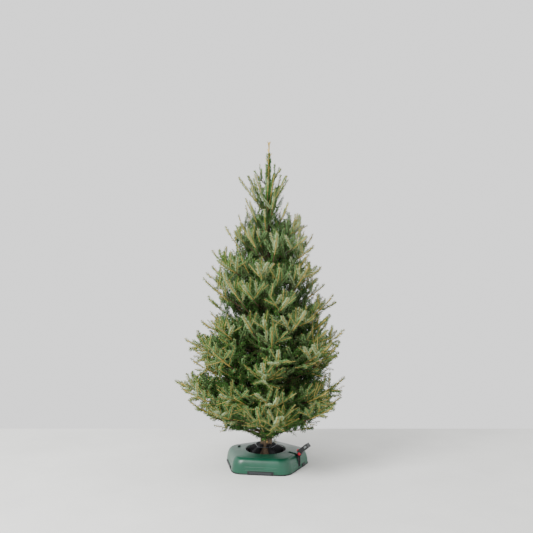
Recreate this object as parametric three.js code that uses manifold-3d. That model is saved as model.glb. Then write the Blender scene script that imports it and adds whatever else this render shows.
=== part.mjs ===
// A cut fir Christmas tree clamped in a five-sided plastic stand with a foot pedal.
//
// Millimetres, +Z up. The origin is the centre of the stand's flat underside, and the front is -Y.
// The trunk runs whole from its sawn butt in the water bowl to the tip of the leader. Whorls of
// boughs leave it all the way up. The two lowest whorls have bare limbs of their own, and every
// branch carries one mass of foliage: a stem with toothed sprays of needles on both sides.
import * as THREE from "three";
import { mergeVertices } from "three/addons/utils/BufferGeometryUtils.js";
import Module from "manifold-3d";

const wasm = await Module();
wasm.setup();

// ---------------------------------------------------------------- driving dimensions

const GAP = 0.3; // clearance between touching pieces

const TREE = {
  cutZ: 18, // sawn butt, standing on the bowl's floor
  tipZ: 1608,
  leanX: 17, // the tip stands this far to the right of the butt
  swayX: 4,
  swayY: 5,
  buttRadius: 31,
  flare: 3, // extra radius at the very foot
  flareHeight: 60,
  leaderZ: 1290, // above the last whorl the trunk is one shoot
  leaderRadius: 5,
  tipRadius: 2.2,
  sides: 10,
  rings: 20,
};

// Pruned side branches on the bare butt: height, direction in degrees, radius, length beyond the bark.
const STUBS = [
  { z: 121, azimuth: -84, radius: 4.5, length: 5 },
  { z: 128, azimuth: -150, radius: 4, length: 6 },
  { z: 124, azimuth: 46, radius: 4, length: 5 },
];

// The crown's outline: height, then how far the tips reach from the axis on the left and the right.
const CROWN = [
  [120, 120, 140],
  [240, 290, 320],
  [330, 385, 400],
  [400, 430, 350],
  [480, 370, 335],
  [600, 395, 368],
  [720, 335, 325],
  [850, 300, 300],
  [975, 285, 245],
  [1110, 215, 255],
  [1210, 180, 178],
  [1290, 115, 140],
  [1360, 122, 136],
  [1440, 92, 78],
  [1500, 40, 40],
];

// The whorls, from the ground up: height on the trunk, number of branches, turn of the first one in
// degrees, rise of the tips above the whorl, and how much of that rise comes late (0 straight, 1 all
// in the upturned tip). Their reach follows from the crown's outline.
const WHORLS = [
  { z: 138, count: 4, turn: 2, rise: 190, upturn: 0.45 },
  { z: 252, count: 5, turn: 37, rise: 160, upturn: 0.3 },
  { z: 400, count: 5, turn: 3, rise: 215, upturn: 0.35 },
  { z: 545, count: 5, turn: 38, rise: 215, upturn: 0.3 },
  { z: 700, count: 4, turn: 12, rise: 205, upturn: 0.25 },
  { z: 850, count: 4, turn: 57, rise: 195, upturn: 0.25 },
  { z: 995, count: 3, turn: 20, rise: 185, upturn: 0.3 },
  { z: 1125, count: 3, turn: 80, rise: 180, upturn: 0.35 },
  { z: 1255, count: 3, turn: 26, rise: 180, upturn: 0.35 },
  { z: 1385, count: 2, turn: 170, rise: 85, upturn: 0.2 },
];

const BOUGH = {
  whorlsWithLimbs: 2, // the lower whorls whose inner limbs stand bare
  bareShare: 0.3, // share of the branch that is bare limb
  thickness: 0.021, // radius at the trunk, as a share of the branch's length
  taper: 0.35, // radius at the tip of the branch, as a share of that at the trunk
  turnSpread: 9, // degrees by which a branch strays from its even place in the whorl
  reachSpread: 0.09, // share by which a branch is longer or shorter than its whorl's reach
  sweep: 5, // degrees by which a branch bends aside along its length
  sides: 5,
};

const SPRAY = {
  increment: 116, // one year's growth along a branch
  angle: 52, // degrees between a side shoot and its branch
  angleSpread: 8,
  lift: 13, // degrees by which side shoots rise out of the branch's plane
  riserAngle: 42, // degrees by which the upper shoot of each year stands up from the branch
  riserShare: 0.85, // its length as a share of a side shoot's
  roll: 60, // degrees by which an upper shoot's needles are turned from upright
  shrink: 0.82, // length of a side shoot as a share of what is left of the branch
  longest: 200,
  shortest: 84,
  widest: 100, // across the longest sprays
  narrowest: 44, // across the shortest
  thickness: 5, // at the ridge
  ridge: 0.38, // place of the ridge's peak along a spray
  rootSink: 2.5, // the spray's root goes this far past the stem's axis
};

const STAND = {
  apothem: 187, // centre to the middle of a side, at the floor
  cornerRadius: 62,
  facing: -98, // direction of the front side's normal, in degrees
  baseHeight: 9,
  shoulderZ: 62,
  shoulderApothem: 160,
  topZ: 75,
  topApothem: 146,
  rimZ: 80,
  rimRadius: 104,
  mouthRadius: 99,
  lipDepth: 22,
  wall: 3.5,
  segments: 30,
  stepHeights: [24, 31, 38], // shallow steps moulded across the lower wall
  stepDepth: 1.2,
};

const GRIP = { width: 126, height: 18, depth: 20, turns: [-1, 0, 2, 3] }; // handles, in fifths from the front
const FOOT = { width: 30, height: 18, depth: 20, aside: 46 }; // pad beside the pedal's slot

const BOWL = { mouthRadius: 95, footRadius: 84, topZ: 74, floorZ: 17.7, wall: 3, underside: 12 };

const CLAW = { count: 5, thickness: 15, padWidth: 27, padHeight: 16, tipZ: 108, pivotRadius: 88 };

const CABLE = { radius: 1.5, ring: 57, z: 96.5, notch: 15, notchDepth: 6.5 };

const PEDAL = {
  azimuth: -26, // direction of the side that it stands out of
  pivotRadius: 150,
  pivotZ: 50,
  pinRadius: 4,
  pinLength: 26,
  hubRadius: 191,
  hubZ: 79.5,
  hubSize: 9, // radius of the hub itself
  capSize: 7, // radius of the cap on its end
  capThickness: 3,
  treadRadius: 184, // middle of the tread's foot
  treadZ: 84,
  tipRadius: 232,
  tipZ: 123.5,
  bladeThickness: 7,
  treadWidth: 34,
  treadThickness: 21,
  slotWidth: 10,
  slotFloor: 14,
  housingWidth: 42,
  housingRadius: 184,
  housingTop: 61,
};

const LEVEL_CAP = { azimuth: 160, distance: 144, radius: 7, stretch: 1.6, height: 12 };

const COLOURS = {
  bark: [0x6b5a45, 0.9],
  limb: [0x7a6247, 0.85],
  needles: [0x5d7547, 0.55],
  shell: [0x1f6a50, 0.35],
  black: [0x16181a, 0.5],
  steel: [0xb9bcbf, 0.3],
  red: [0xc8142c, 0.35],
};

// ---------------------------------------------------------------- small tools

const radians = (degrees) => (degrees * Math.PI) / 180;
const mix = (a, b, t) => a + (b - a) * t;
const clamp01 = (t) => Math.min(1, Math.max(0, t));
const smooth = (t) => clamp01(t) ** 2 * (3 - 2 * clamp01(t));

/** A seeded stream of numbers from 0 to 1: a 32-bit linear congruential generator. */
class Seeded {
  constructor(seed) {
    this.state = (seed * 2654435761) >>> 0;
    this.next();
    this.next();
  }
  next() {
    this.state = (Math.imul(this.state, 1664525) + 1013904223) >>> 0;
    return this.state / 4294967296;
  }
  spread(amount) {
    return (this.next() * 2 - 1) * amount;
  }
}

/** A closed BufferGeometry as a manifold-3d solid. */
function toSolid(geometry) {
  const bare = geometry.clone();
  bare.deleteAttribute("normal");
  bare.deleteAttribute("uv");
  const merged = mergeVertices(bare, 1e-4);
  const mesh = new wasm.Mesh({
    numProp: 3,
    vertProperties: merged.attributes.position.array,
    triVerts: new Uint32Array(merged.index.array),
  });
  return new wasm.Manifold(mesh);
}

/** A manifold-3d solid as a BufferGeometry with flat normals. */
function toGeometry(solid) {
  const mesh = solid.getMesh();
  const geometry = new THREE.BufferGeometry();
  geometry.setAttribute("position", new THREE.BufferAttribute(mesh.vertProperties, 3));
  geometry.setIndex(new THREE.BufferAttribute(mesh.triVerts, 1));
  geometry.computeVertexNormals();
  return geometry;
}

/** The largest body of a solid: scraps that a union leaves loose are dropped. */
function largest(solid) {
  return solid.decompose().reduce((a, b) => (a.volume() > b.volume() ? a : b));
}

const group = new THREE.Group();

/** Adds a solid or a geometry to the group as a named mesh. */
function addPart(name, shape, [color, roughness], metalness = 0) {
  const geometry = shape.isBufferGeometry ? shape : toGeometry(shape);
  const material = new THREE.MeshStandardMaterial({ color, roughness, metalness });
  const mesh = new THREE.Mesh(geometry, material);
  mesh.name = name;
  group.add(mesh);
}

/** A box standing in a radial plane: middle radius, height and azimuth, then its three sizes. */
function radialBox(radius, z, azimuth, depth, width, height) {
  const box = new THREE.BoxGeometry(depth, width, height);
  box.translate(radius, 0, z);
  box.rotateZ(radians(azimuth));
  return toSolid(box);
}

/** An outline in the (radius, z) plane extruded to a plate that stands in a radial plane. */
function radialPlate(outline, thickness, azimuth) {
  const shape = new THREE.Shape(outline.map(([r, z]) => new THREE.Vector2(r, z)));
  const plate = new THREE.ExtrudeGeometry(shape, { depth: thickness, bevelEnabled: false });
  plate.translate(0, 0, -thickness / 2);
  plate.rotateX(Math.PI / 2);
  plate.rotateZ(radians(azimuth));
  return toSolid(plate);
}

/**
 * A tapering limb: a cylinder whose rings are carried along centre(t), with radius(t), t from 0 to 1.
 * Its rings stand square to the centre line, or lie level.
 */
function limb(centre, radius, sides, rings, level = false) {
  const rod = new THREE.CylinderGeometry(1, 1, 1, sides, rings);
  const position = rod.attributes.position;
  const step = 0.004;
  const up = new THREE.Vector3(0, 0, 1);
  for (let i = 0; i < position.count; i++) {
    const t = position.getY(i) + 0.5;
    const along = level ? up : centre(t + step).sub(centre(t - step)).normalize();
    const aside = Math.abs(along.z) > 0.97 ? new THREE.Vector3(0, 1, 0) : up;
    const side = new THREE.Vector3().crossVectors(aside, along).normalize();
    const over = new THREE.Vector3().crossVectors(along, side);
    const point = centre(t);
    point.addScaledVector(side, position.getX(i) * radius(t));
    point.addScaledVector(over, -position.getZ(i) * radius(t));
    position.setXYZ(i, point.x, point.y, point.z);
  }
  const solid = toSolid(rod);
  return solid.volume() < 0 ? toSolid(flipped(rod)) : solid;
}

/** The same geometry with its faces turned round. */
function flipped(geometry) {
  const index = geometry.index.array;
  for (let i = 0; i < index.length; i += 3) {
    [index[i + 1], index[i + 2]] = [index[i + 2], index[i + 1]];
  }
  return geometry;
}

// ---------------------------------------------------------------- trunk

/** Centre of the trunk at height z: a slight lean with one slow sway in it. */
function trunkCentre(z) {
  const t = (z - TREE.cutZ) / (TREE.tipZ - TREE.cutZ);
  const x = TREE.leanX * t + TREE.swayX * Math.sin(2 * Math.PI * t);
  const y = TREE.swayY * Math.sin(Math.PI * t);
  return new THREE.Vector3(x, y, z);
}

/** Radius of the trunk at height z: butt flare, even taper to the leader, then the leader itself. */
function trunkRadius(z) {
  const flare = TREE.flare * (1 - smooth((z - TREE.cutZ) / TREE.flareHeight));
  if (z > TREE.leaderZ) {
    return mix(TREE.leaderRadius, TREE.tipRadius, (z - TREE.leaderZ) / (TREE.tipZ - TREE.leaderZ));
  }
  return flare + mix(TREE.buttRadius, TREE.leaderRadius, (z - TREE.cutZ) / (TREE.leaderZ - TREE.cutZ));
}

/** The bare trunk, thicker all round by a margin. */
function makeBark(margin) {
  const height = (t) => mix(TREE.cutZ, TREE.tipZ, t);
  const radius = (t) => trunkRadius(height(t)) + margin;
  return limb((t) => trunkCentre(height(t)), radius, TREE.sides, TREE.rings, true);
}

function makeTrunk() {
  let trunk = makeBark(0);
  for (const stub of STUBS) {
    const inner = trunkRadius(stub.z) * 0.5;
    const outer = trunkRadius(stub.z) + stub.length;
    const peg = new THREE.CylinderGeometry(stub.radius, stub.radius * 1.3, outer - inner, 7);
    peg.rotateZ(-Math.PI / 2);
    peg.translate((inner + outer) / 2, 0, 0);
    peg.rotateZ(radians(stub.azimuth));
    const centre = trunkCentre(stub.z);
    peg.translate(centre.x, centre.y, stub.z);
    trunk = trunk.add(toSolid(peg));
  }
  return trunk;
}

const clampHeight = (z) => Math.min(TREE.tipZ, Math.max(TREE.cutZ, z));

// ---------------------------------------------------------------- branches

/** How far the crown reaches from its axis at height z, in the direction azimuth in degrees. */
function crownReach(z, azimuth) {
  const last = CROWN.length - 1;
  const i = Math.min(last - 1, Math.max(0, CROWN.findIndex(([height]) => height > z) - 1));
  const [z0, left0, right0] = CROWN[i];
  const [z1, left1, right1] = CROWN[i + 1];
  const t = clamp01((z - z0) / (z1 - z0));
  const rightness = (1 + Math.cos(radians(azimuth))) / 2;
  return mix(mix(left0, left1, t), mix(right0, right1, t), rightness);
}

/** The branches of one whorl, each with its centre line as a function of t from 0 to 1. */
function branchesOf(whorl, index) {
  const draw = new Seeded(101 + index);
  const branches = [];
  for (let i = 0; i < whorl.count; i++) {
    const azimuth = whorl.turn + (360 * i) / whorl.count + draw.spread(BOUGH.turnSpread);
    const rise = whorl.rise * (1 + draw.spread(BOUGH.reachSpread));
    const reach = crownReach(whorl.z + rise, azimuth) * (1 + draw.spread(BOUGH.reachSpread));
    const sweep = draw.spread(BOUGH.sweep);
    const z = whorl.z + draw.spread(9);
    const start = trunkRadius(z) * 0.4;
    const root = trunkCentre(z);
    const centre = (t) => {
      const turn = radians(azimuth + sweep * t * t);
      const r = mix(start, reach, t);
      const lift = rise * mix(t, t * t, whorl.upturn);
      return new THREE.Vector3(root.x + r * Math.cos(turn), root.y + r * Math.sin(turn), z + lift);
    };
    const length = Math.hypot(reach - start, rise);
    const foot = Math.max(2.6, length * BOUGH.thickness * 0.85);
    branches.push({ azimuth, centre, length, radius: (t) => foot * mix(1, BOUGH.taper, t), whorl });
  }
  return branches;
}

/**
 * A toothed spray of needles from root to tip: a ball of eight sides and two rows whose middle ring
 * is pulled out to two teeth and a notch on each side, and whose poles make the thickness.
 */
function spray(root, direction, up, length, width) {
  const half = width / 2;
  const outline = [
    [1, 0],
    [0.7, 0.8],
    [0.43, 0.42],
    [0.26, 1],
    [0, 0],
    [0.3, -1],
    [0.47, -0.42],
    [0.75, -0.8],
  ];
  const blade = new THREE.SphereGeometry(1, outline.length, 2);
  const position = blade.attributes.position;
  for (let i = 0; i < position.count; i++) {
    const turn = Math.atan2(position.getZ(i), -position.getX(i)) / (2 * Math.PI);
    const [along, aside] = outline[(Math.round(turn * outline.length) + outline.length) % outline.length];
    if (Math.abs(position.getY(i)) > 0.5) {
      position.setXYZ(i, SPRAY.ridge * length, 0, (Math.sign(position.getY(i)) * SPRAY.thickness) / 2);
    } else {
      position.setXYZ(i, along * (length + SPRAY.rootSink) - SPRAY.rootSink, aside * half, 0);
    }
  }
  const across = new THREE.Vector3().crossVectors(up, direction).normalize();
  const over = new THREE.Vector3().crossVectors(direction, across);
  blade.applyMatrix4(new THREE.Matrix4().makeBasis(direction, across, over).setPosition(root));
  const solid = toSolid(blade);
  return solid.volume() < 0 ? toSolid(flipped(blade)) : solid;
}

/** Every spray of a branch, by the growth rule: yearly pairs of side shoots, the longer ones forked. */
function spraysOf(branch, from, draw) {
  const sprays = [];
  const years = Math.max(2, Math.round((branch.length * (1 - from)) / SPRAY.increment));
  const vertical = new THREE.Vector3(0, 0, 1);
  for (let year = 0; year < years; year++) {
    const t = mix(from + 0.04, 0.9, year / years);
    const node = branch.centre(t);
    const along = branch.centre(t + 0.01).sub(branch.centre(t - 0.01)).normalize();
    const side = new THREE.Vector3().crossVectors(vertical, along).normalize();
    const up = new THREE.Vector3().crossVectors(along, side);
    const left = (1 - t) * branch.length;
    for (const hand of [-1, 1]) {
      const angle = radians(SPRAY.angle + draw.spread(SPRAY.angleSpread));
      const lift = radians(SPRAY.lift + draw.spread(SPRAY.lift));
      const grown = left * SPRAY.shrink * (1 + draw.spread(0.1));
      const length = Math.min(SPRAY.longest, Math.max(SPRAY.shortest, grown));
      const direction = along.clone().multiplyScalar(Math.cos(angle));
      direction.addScaledVector(side, hand * Math.sin(angle) * Math.cos(lift));
      direction.addScaledVector(up, Math.sin(lift)).normalize();
      sprays.push({ root: node, direction, up, length });
    }
    if (year === years - 1) continue;
    const roll = radians(draw.spread(SPRAY.roll));
    const stand = radians(SPRAY.riserAngle + draw.spread(SPRAY.angleSpread));
    const riser = along.clone().multiplyScalar(Math.cos(stand)).addScaledVector(up, Math.sin(stand));
    const face = side.clone().multiplyScalar(Math.cos(roll)).addScaledVector(along, Math.sin(roll));
    const tall = Math.max(SPRAY.shortest, Math.min(SPRAY.longest, left * SPRAY.shrink) * SPRAY.riserShare);
    sprays.push({ root: node, direction: riser, up: face, length: tall });
  }
  const end = branch.centre(0.86);
  const out = branch.centre(1).sub(end);
  sprays.push({ root: end, direction: out.clone().normalize(), up: vertical, length: out.length() + 1 });
  return sprays;
}

/** The stem of a mass: a three-sided limb that carries its branch on from the share t = from. */
function makeStem(branch, from) {
  const along = (t) => mix(from, 0.96, t);
  const stem = limb((t) => branch.centre(along(t)), (t) => branch.radius(along(t)), 3, 4);
  return largest(stem.subtract(clearBark));
}

/** One mass of foliage: its stem and the sprays of its rule that keep clear of all that is taken. */
function makeMass(branch, from, stem, taken, draw) {
  const near = taken.filter((other) => other !== stem && boxesMeet(stem, other, SPRAY.longest + SPRAY.widest));
  const kept = [stem];
  for (const { root, direction, up, length } of spraysOf(branch, from, draw)) {
    const share = (length - SPRAY.shortest) / (SPRAY.longest - SPRAY.shortest);
    const blade = spray(root, direction, up, length, mix(SPRAY.narrowest, SPRAY.widest, clamp01(share)));
    const blocked = near.some((other) => boxesMeet(blade, other, 1) && blade.minGap(other, 1) < 2 * GAP);
    if (!blocked) kept.push(blade);
  }
  return largest(wasm.Manifold.union(kept));
}

/** Whether the boxes of two solids come within a margin of each other. */
function boxesMeet(a, b, margin) {
  const p = a.boundingBox();
  const q = b.boundingBox();
  return [0, 1, 2].every((k) => p.min[k] - margin < q.max[k] && q.min[k] - margin < p.max[k]);
}

/** The share t of a branch at which its centre line is a given distance from the trunk's axis. */
function shareAt(branch, distance) {
  let t = 0;
  while (t < 1) {
    const point = branch.centre(t);
    const axis = trunkCentre(clampHeight(point.z));
    if (Math.hypot(point.x - axis.x, point.y - axis.y) >= distance) return t;
    t += 0.002;
  }
  return t;
}

/** Adds every bough, then every mass of foliage, from the lowest whorl to the highest. */
function makeCrown(trunk) {
  const taken = [trunk];
  const planned = [];
  WHORLS.forEach((whorl, index) => {
    branchesOf(whorl, index).forEach((branch, i) => {
      const name = `${String(index + 1).padStart(2, "0")}${"abcde"[i]}`;
      const draw = new Seeded(500 + 10 * index + i);
      let from = shareAt(branch, trunkRadius(branch.centre(0).z) * 0.75);
      if (index < BOUGH.whorlsWithLimbs) {
        from = BOUGH.bareShare + GAP / branch.length;
        const along = (t) => mix(0, BOUGH.bareShare, t);
        const raw = limb((t) => branch.centre(along(t)), (t) => branch.radius(along(t)), BOUGH.sides, 3);
        const bough = largest(raw.subtract(clearBark));
        addPart(`bough_${name}`, bough, COLOURS.limb);
        taken.push(bough);
      }
      const stem = makeStem(branch, from);
      taken.push(stem);
      planned.push({ name, branch, from, stem, draw });
    });
  });
  for (const { name, branch, from, stem, draw } of planned) {
    const mass = makeMass(branch, from, stem, taken, draw);
    addPart(`foliage_${name}`, mass, COLOURS.needles);
    taken.push(mass);
  }
}

// ---------------------------------------------------------------- stand

/** Radius, at an angle in radians, of a regular pentagon with round corners. */
function pentagonRadius(angle, apothem, corner) {
  const fifth = (2 * Math.PI) / 5;
  const half = fifth / 2;
  const turned = angle - radians(STAND.facing);
  const fromSide = Math.abs(turned - fifth * Math.round(turned / fifth));
  if (apothem * Math.tan(fromSide) <= (apothem - corner) * Math.tan(half)) return apothem / Math.cos(fromSide);
  const centre = (apothem - corner) / Math.cos(half);
  const off = half - fromSide;
  return centre * Math.cos(off) + Math.sqrt(corner ** 2 - (centre * Math.sin(off)) ** 2);
}

/** A lathed profile pushed out to the pentagon where it is wider than the round rim. */
function pentagonLathe(profile) {
  const points = profile.map(([r, z]) => new THREE.Vector2(r, z));
  const lathe = new THREE.LatheGeometry(points, STAND.segments);
  lathe.rotateX(Math.PI / 2);
  const position = lathe.attributes.position;
  for (let i = 0; i < position.count; i++) {
    const x = position.getX(i);
    const y = position.getY(i);
    const r = Math.hypot(x, y);
    const squareness = smooth((r - STAND.rimRadius) / (STAND.topApothem - STAND.rimRadius));
    const corner = STAND.cornerRadius * (r / STAND.apothem);
    const wide = pentagonRadius(Math.atan2(y, x), Math.max(r, corner + 1), corner);
    const scale = r > 1e-6 ? mix(1, wide / r, squareness) : 1;
    position.setXY(i, x * scale, y * scale);
  }
  const solid = toSolid(lathe);
  return solid.volume() < 0 ? toSolid(flipped(lathe)) : solid;
}

function makeCover() {
  const s = STAND;
  const bottom = s.baseHeight + GAP;
  const lean = (z) => mix(s.apothem - 2, s.shoulderApothem, (z - bottom) / (s.shoulderZ - bottom));
  const steps = s.stepHeights.flatMap((z, i) => [
    [lean(z) - s.stepDepth * i, z],
    [lean(z) - s.stepDepth * (i + 1), z + 1],
  ]);
  const outside = [
    [lean(bottom), bottom],
    ...steps,
    [s.shoulderApothem - 6, s.shoulderZ + 5],
    [s.topApothem, s.topZ - 1],
    [s.topApothem - 12, s.topZ + 0.5],
    [s.rimRadius + 3, s.rimZ],
    [s.mouthRadius, s.rimZ - 2],
    [s.mouthRadius, s.rimZ - s.lipDepth],
  ];
  const inside = [
    [s.mouthRadius + s.wall, s.rimZ - s.lipDepth],
    [s.mouthRadius + s.wall, s.rimZ - 5],
    [s.topApothem - 16, s.topZ - 4],
    [s.shoulderApothem - 11, s.shoulderZ + 1],
    [s.shoulderApothem - 8, s.shoulderZ - 10],
    [lean(bottom) - s.wall - 3, bottom],
  ];
  let cover = pentagonLathe([...outside, ...inside, outside[0]]);
  const p = PEDAL;
  const housingDepth = p.housingRadius - 130;
  const housing = radialBox(
    130 + housingDepth / 2,
    (bottom + p.housingTop) / 2,
    p.azimuth,
    housingDepth,
    p.housingWidth,
    p.housingTop - bottom,
  );
  cover = cover.add(housing);
  const slotTop = s.rimZ + 10;
  const slot = radialBox(165, (p.slotFloor + slotTop) / 2, p.azimuth, 90, p.slotWidth, slotTop - p.slotFloor);
  cover = cover.subtract(slot);
  cover = cover.subtract(pedalPin(GAP));
  cover = cover.subtract(makeLevelCap(GAP));
  for (const block of edgeBlocks(GAP)) cover = cover.subtract(block);
  return largest(cover);
}

const cornerAngles = () => Array.from({ length: CLAW.count }, (_, i) => STAND.facing - 36 + 72 * i);

/** A block let into the foot of one side, larger all round by a margin. */
function edgeBlock({ width, height, depth }, azimuth, aside, margin) {
  const box = new THREE.BoxGeometry(depth + 2 * margin, width + 2 * margin, height + margin);
  box.translate(STAND.apothem - depth / 2, aside, (height + margin) / 2);
  box.rotateZ(radians(azimuth));
  return toSolid(box);
}

/** The handles in the four plain sides and the pad beside the pedal, larger all round by a margin. */
function edgeBlocks(margin) {
  const grips = GRIP.turns.map((turn) => edgeBlock(GRIP, STAND.facing + 72 * turn, 0, margin));
  return [...grips, edgeBlock(FOOT, PEDAL.azimuth, FOOT.aside, margin)];
}

function makeBase() {
  const s = STAND;
  let base = pentagonLathe([
    [0, 0],
    [s.apothem - 3, 0],
    [s.apothem, 2],
    [s.apothem, s.baseHeight],
    [0, s.baseHeight],
  ]);
  for (const block of edgeBlocks(0)) base = base.add(block);
  return base;
}

function makeBowl() {
  const b = BOWL;
  const profile = [
    [0, b.underside],
    [b.footRadius - 4, b.underside],
    [b.footRadius, b.underside + 5],
    [b.mouthRadius, b.topZ],
    [b.mouthRadius - b.wall, b.topZ],
    [b.footRadius - b.wall, b.floorZ + 4],
    [b.footRadius - b.wall - 4, b.floorZ],
    [0, b.floorZ],
  ];
  const points = profile.map(([r, z]) => new THREE.Vector2(r, z));
  const lathe = new THREE.LatheGeometry(points, 30);
  lathe.rotateX(Math.PI / 2);
  const foot = new THREE.CylinderGeometry(40, 40, b.underside + 2 - (STAND.baseHeight + GAP), 24);
  foot.rotateX(Math.PI / 2);
  foot.translate(0, 0, (b.underside + 2 + STAND.baseHeight + GAP) / 2);
  const solid = toSolid(lathe);
  return (solid.volume() < 0 ? toSolid(flipped(lathe)) : solid).add(toSolid(foot));
}

/** A claw hinged inside the rim: a deep arm that rises to a toothed pad against the trunk. */
function makeClaw(azimuth) {
  const c = CLAW;
  const bark = trunkRadius(c.tipZ - c.padHeight / 2) + GAP + 0.8;
  const arm = radialPlate(
    [
      [c.pivotRadius, 64],
      [90, 72],
      [89, 83],
      [bark + 9, c.tipZ + 2],
      [bark + 2, c.tipZ],
      [bark + 2, c.tipZ - c.padHeight],
      [46, 66],
      [58, 50],
      [74, 50],
    ],
    c.thickness,
    azimuth,
  );
  let claw = arm.add(radialBox(bark + 4, c.tipZ - c.padHeight / 2, azimuth, 8, c.padWidth, c.padHeight));
  const pin = new THREE.CylinderGeometry(4, 4, c.thickness + 8, 6);
  pin.translate(c.pivotRadius - 3, 0, 0);
  pin.rotateZ(radians(azimuth));
  pin.translate(0, 0, 72);
  claw = claw.add(toSolid(pin));
  const slot = radialBox(
    CABLE.ring,
    CABLE.z - CABLE.radius - GAP + 10,
    azimuth,
    CABLE.notch,
    c.thickness + 2,
    20,
  );
  return largest(claw.subtract(slot).subtract(clearBark));
}

/** The steel cable that draws the five claws in: a taut five-sided ring of round section. */
function makeCable() {
  const corners = cornerAngles().map((azimuth) => {
    const turn = radians(azimuth);
    return new THREE.Vector3(CABLE.ring * Math.cos(turn), CABLE.ring * Math.sin(turn), CABLE.z);
  });
  const rods = corners.map((from, i) => {
    const to = corners[(i + 1) % corners.length];
    const rod = new THREE.CylinderGeometry(CABLE.radius, CABLE.radius, from.distanceTo(to) + 1, 6);
    const turn = new THREE.Quaternion().setFromUnitVectors(
      new THREE.Vector3(0, 1, 0),
      to.clone().sub(from).normalize(),
    );
    rod.applyQuaternion(turn);
    rod.translate(...from.clone().lerp(to, 0.5).toArray());
    return toSolid(rod);
  });
  return wasm.Manifold.union(rods);
}

/** The pin that the foot lever turns on, larger all round by a margin. */
function pedalPin(margin) {
  const p = PEDAL;
  const pin = new THREE.CylinderGeometry(
    p.pinRadius + margin,
    p.pinRadius + margin,
    p.pinLength + 2 * margin,
    12,
  );
  pin.translate(p.pivotRadius, 0, 0);
  pin.rotateZ(radians(p.azimuth));
  pin.translate(0, 0, p.pivotZ);
  return toSolid(pin);
}

/** The foot lever: a thin blade from the pivot out through the slot, and a deep tread on its end. */
function makePedal() {
  const p = PEDAL;
  const blade = radialPlate(
    [
      [p.pivotRadius - 8, p.pivotZ - 8],
      [p.pivotRadius + 10, p.pivotZ - 8],
      [p.hubRadius + 4, p.hubZ - 10],
      [p.hubRadius + 10, p.hubZ + 4],
      [p.hubRadius - 4, p.hubZ + 10],
      [p.pivotRadius + 6, p.pivotZ + 12],
      [p.pivotRadius - 8, p.pivotZ + 7],
    ],
    p.bladeThickness,
    p.azimuth,
  );
  const length = Math.hypot(p.tipRadius - p.treadRadius, p.tipZ - p.treadZ);
  const slope = Math.atan2(p.tipZ - p.treadZ, p.tipRadius - p.treadRadius);
  const tread = new THREE.BoxGeometry(length, p.treadWidth, p.treadThickness);
  tread.translate(length / 2, 0, 0);
  tread.rotateY(-slope);
  tread.translate(p.treadRadius, 0, p.treadZ);
  tread.rotateZ(radians(p.azimuth));
  const hub = new THREE.CylinderGeometry(p.hubSize, p.hubSize, p.treadWidth, 12);
  hub.translate(p.hubRadius, 0, 0);
  hub.rotateZ(radians(p.azimuth));
  hub.translate(0, 0, p.hubZ);
  return blade.add(toSolid(tread)).add(toSolid(hub)).add(pedalPin(0));
}

/** The red cap on the front end of the pedal's hub. */
function makePedalCap() {
  const p = PEDAL;
  const cap = new THREE.CylinderGeometry(p.capSize, p.capSize, p.capThickness, 12);
  cap.translate(p.hubRadius, -(p.treadWidth + p.capThickness) / 2 - GAP, 0);
  cap.rotateZ(radians(p.azimuth));
  cap.translate(0, 0, p.hubZ);
  return cap;
}

/** The oval cap over the water-level float, let into the cover's top at the rear left corner. */
function makeLevelCap(margin) {
  const c = LEVEL_CAP;
  const cap = new THREE.CylinderGeometry(c.radius + margin, c.radius + margin, c.height + 2 * margin, 12);
  cap.rotateX(Math.PI / 2);
  cap.scale(c.stretch, 1, 1);
  cap.rotateZ(radians(c.azimuth + 90));
  const turn = radians(c.azimuth);
  cap.translate(c.distance * Math.cos(turn), c.distance * Math.sin(turn), STAND.topZ);
  return toSolid(cap);
}

// ---------------------------------------------------------------- assembly

const clearBark = makeBark(1.5 * GAP); // cuts what grows from the trunk or grips it
const trunk = makeTrunk();
addPart("trunk", trunk, COLOURS.bark);
makeCrown(trunk);
addPart("stand_cover", makeCover(), COLOURS.shell);
addPart("stand_base", makeBase(), COLOURS.black);
addPart("water_bowl", makeBowl(), COLOURS.black);
cornerAngles().forEach((azimuth, i) => addPart(`claw_${i + 1}`, makeClaw(azimuth), COLOURS.black));
addPart("claw_cable", makeCable(), COLOURS.steel, 1);
addPart("pedal_lever", makePedal(), COLOURS.black);
addPart("pedal_cap", makePedalCap(), COLOURS.red);
addPart("level_cap", makeLevelCap(0), COLOURS.black);

export default group;
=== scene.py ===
"""A cut fir Christmas tree, clamped in a five-sided plastic water stand with a foot pedal.

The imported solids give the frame: their places, bodies and joint. This script dresses them. The trunk
and the limbs get a surface with the bark's relief, every mass of foliage grows on from its limb by
the same seeded rule as the solids, down to single needles and buds, and the stand gets its moulded
shell, claws, wire and pedal. Sizes are in millimetres until a mesh is filled, which is in metres.
"""

import logging
import math
from dataclasses import dataclass, field, fields
from enum import Enum, IntEnum

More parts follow.
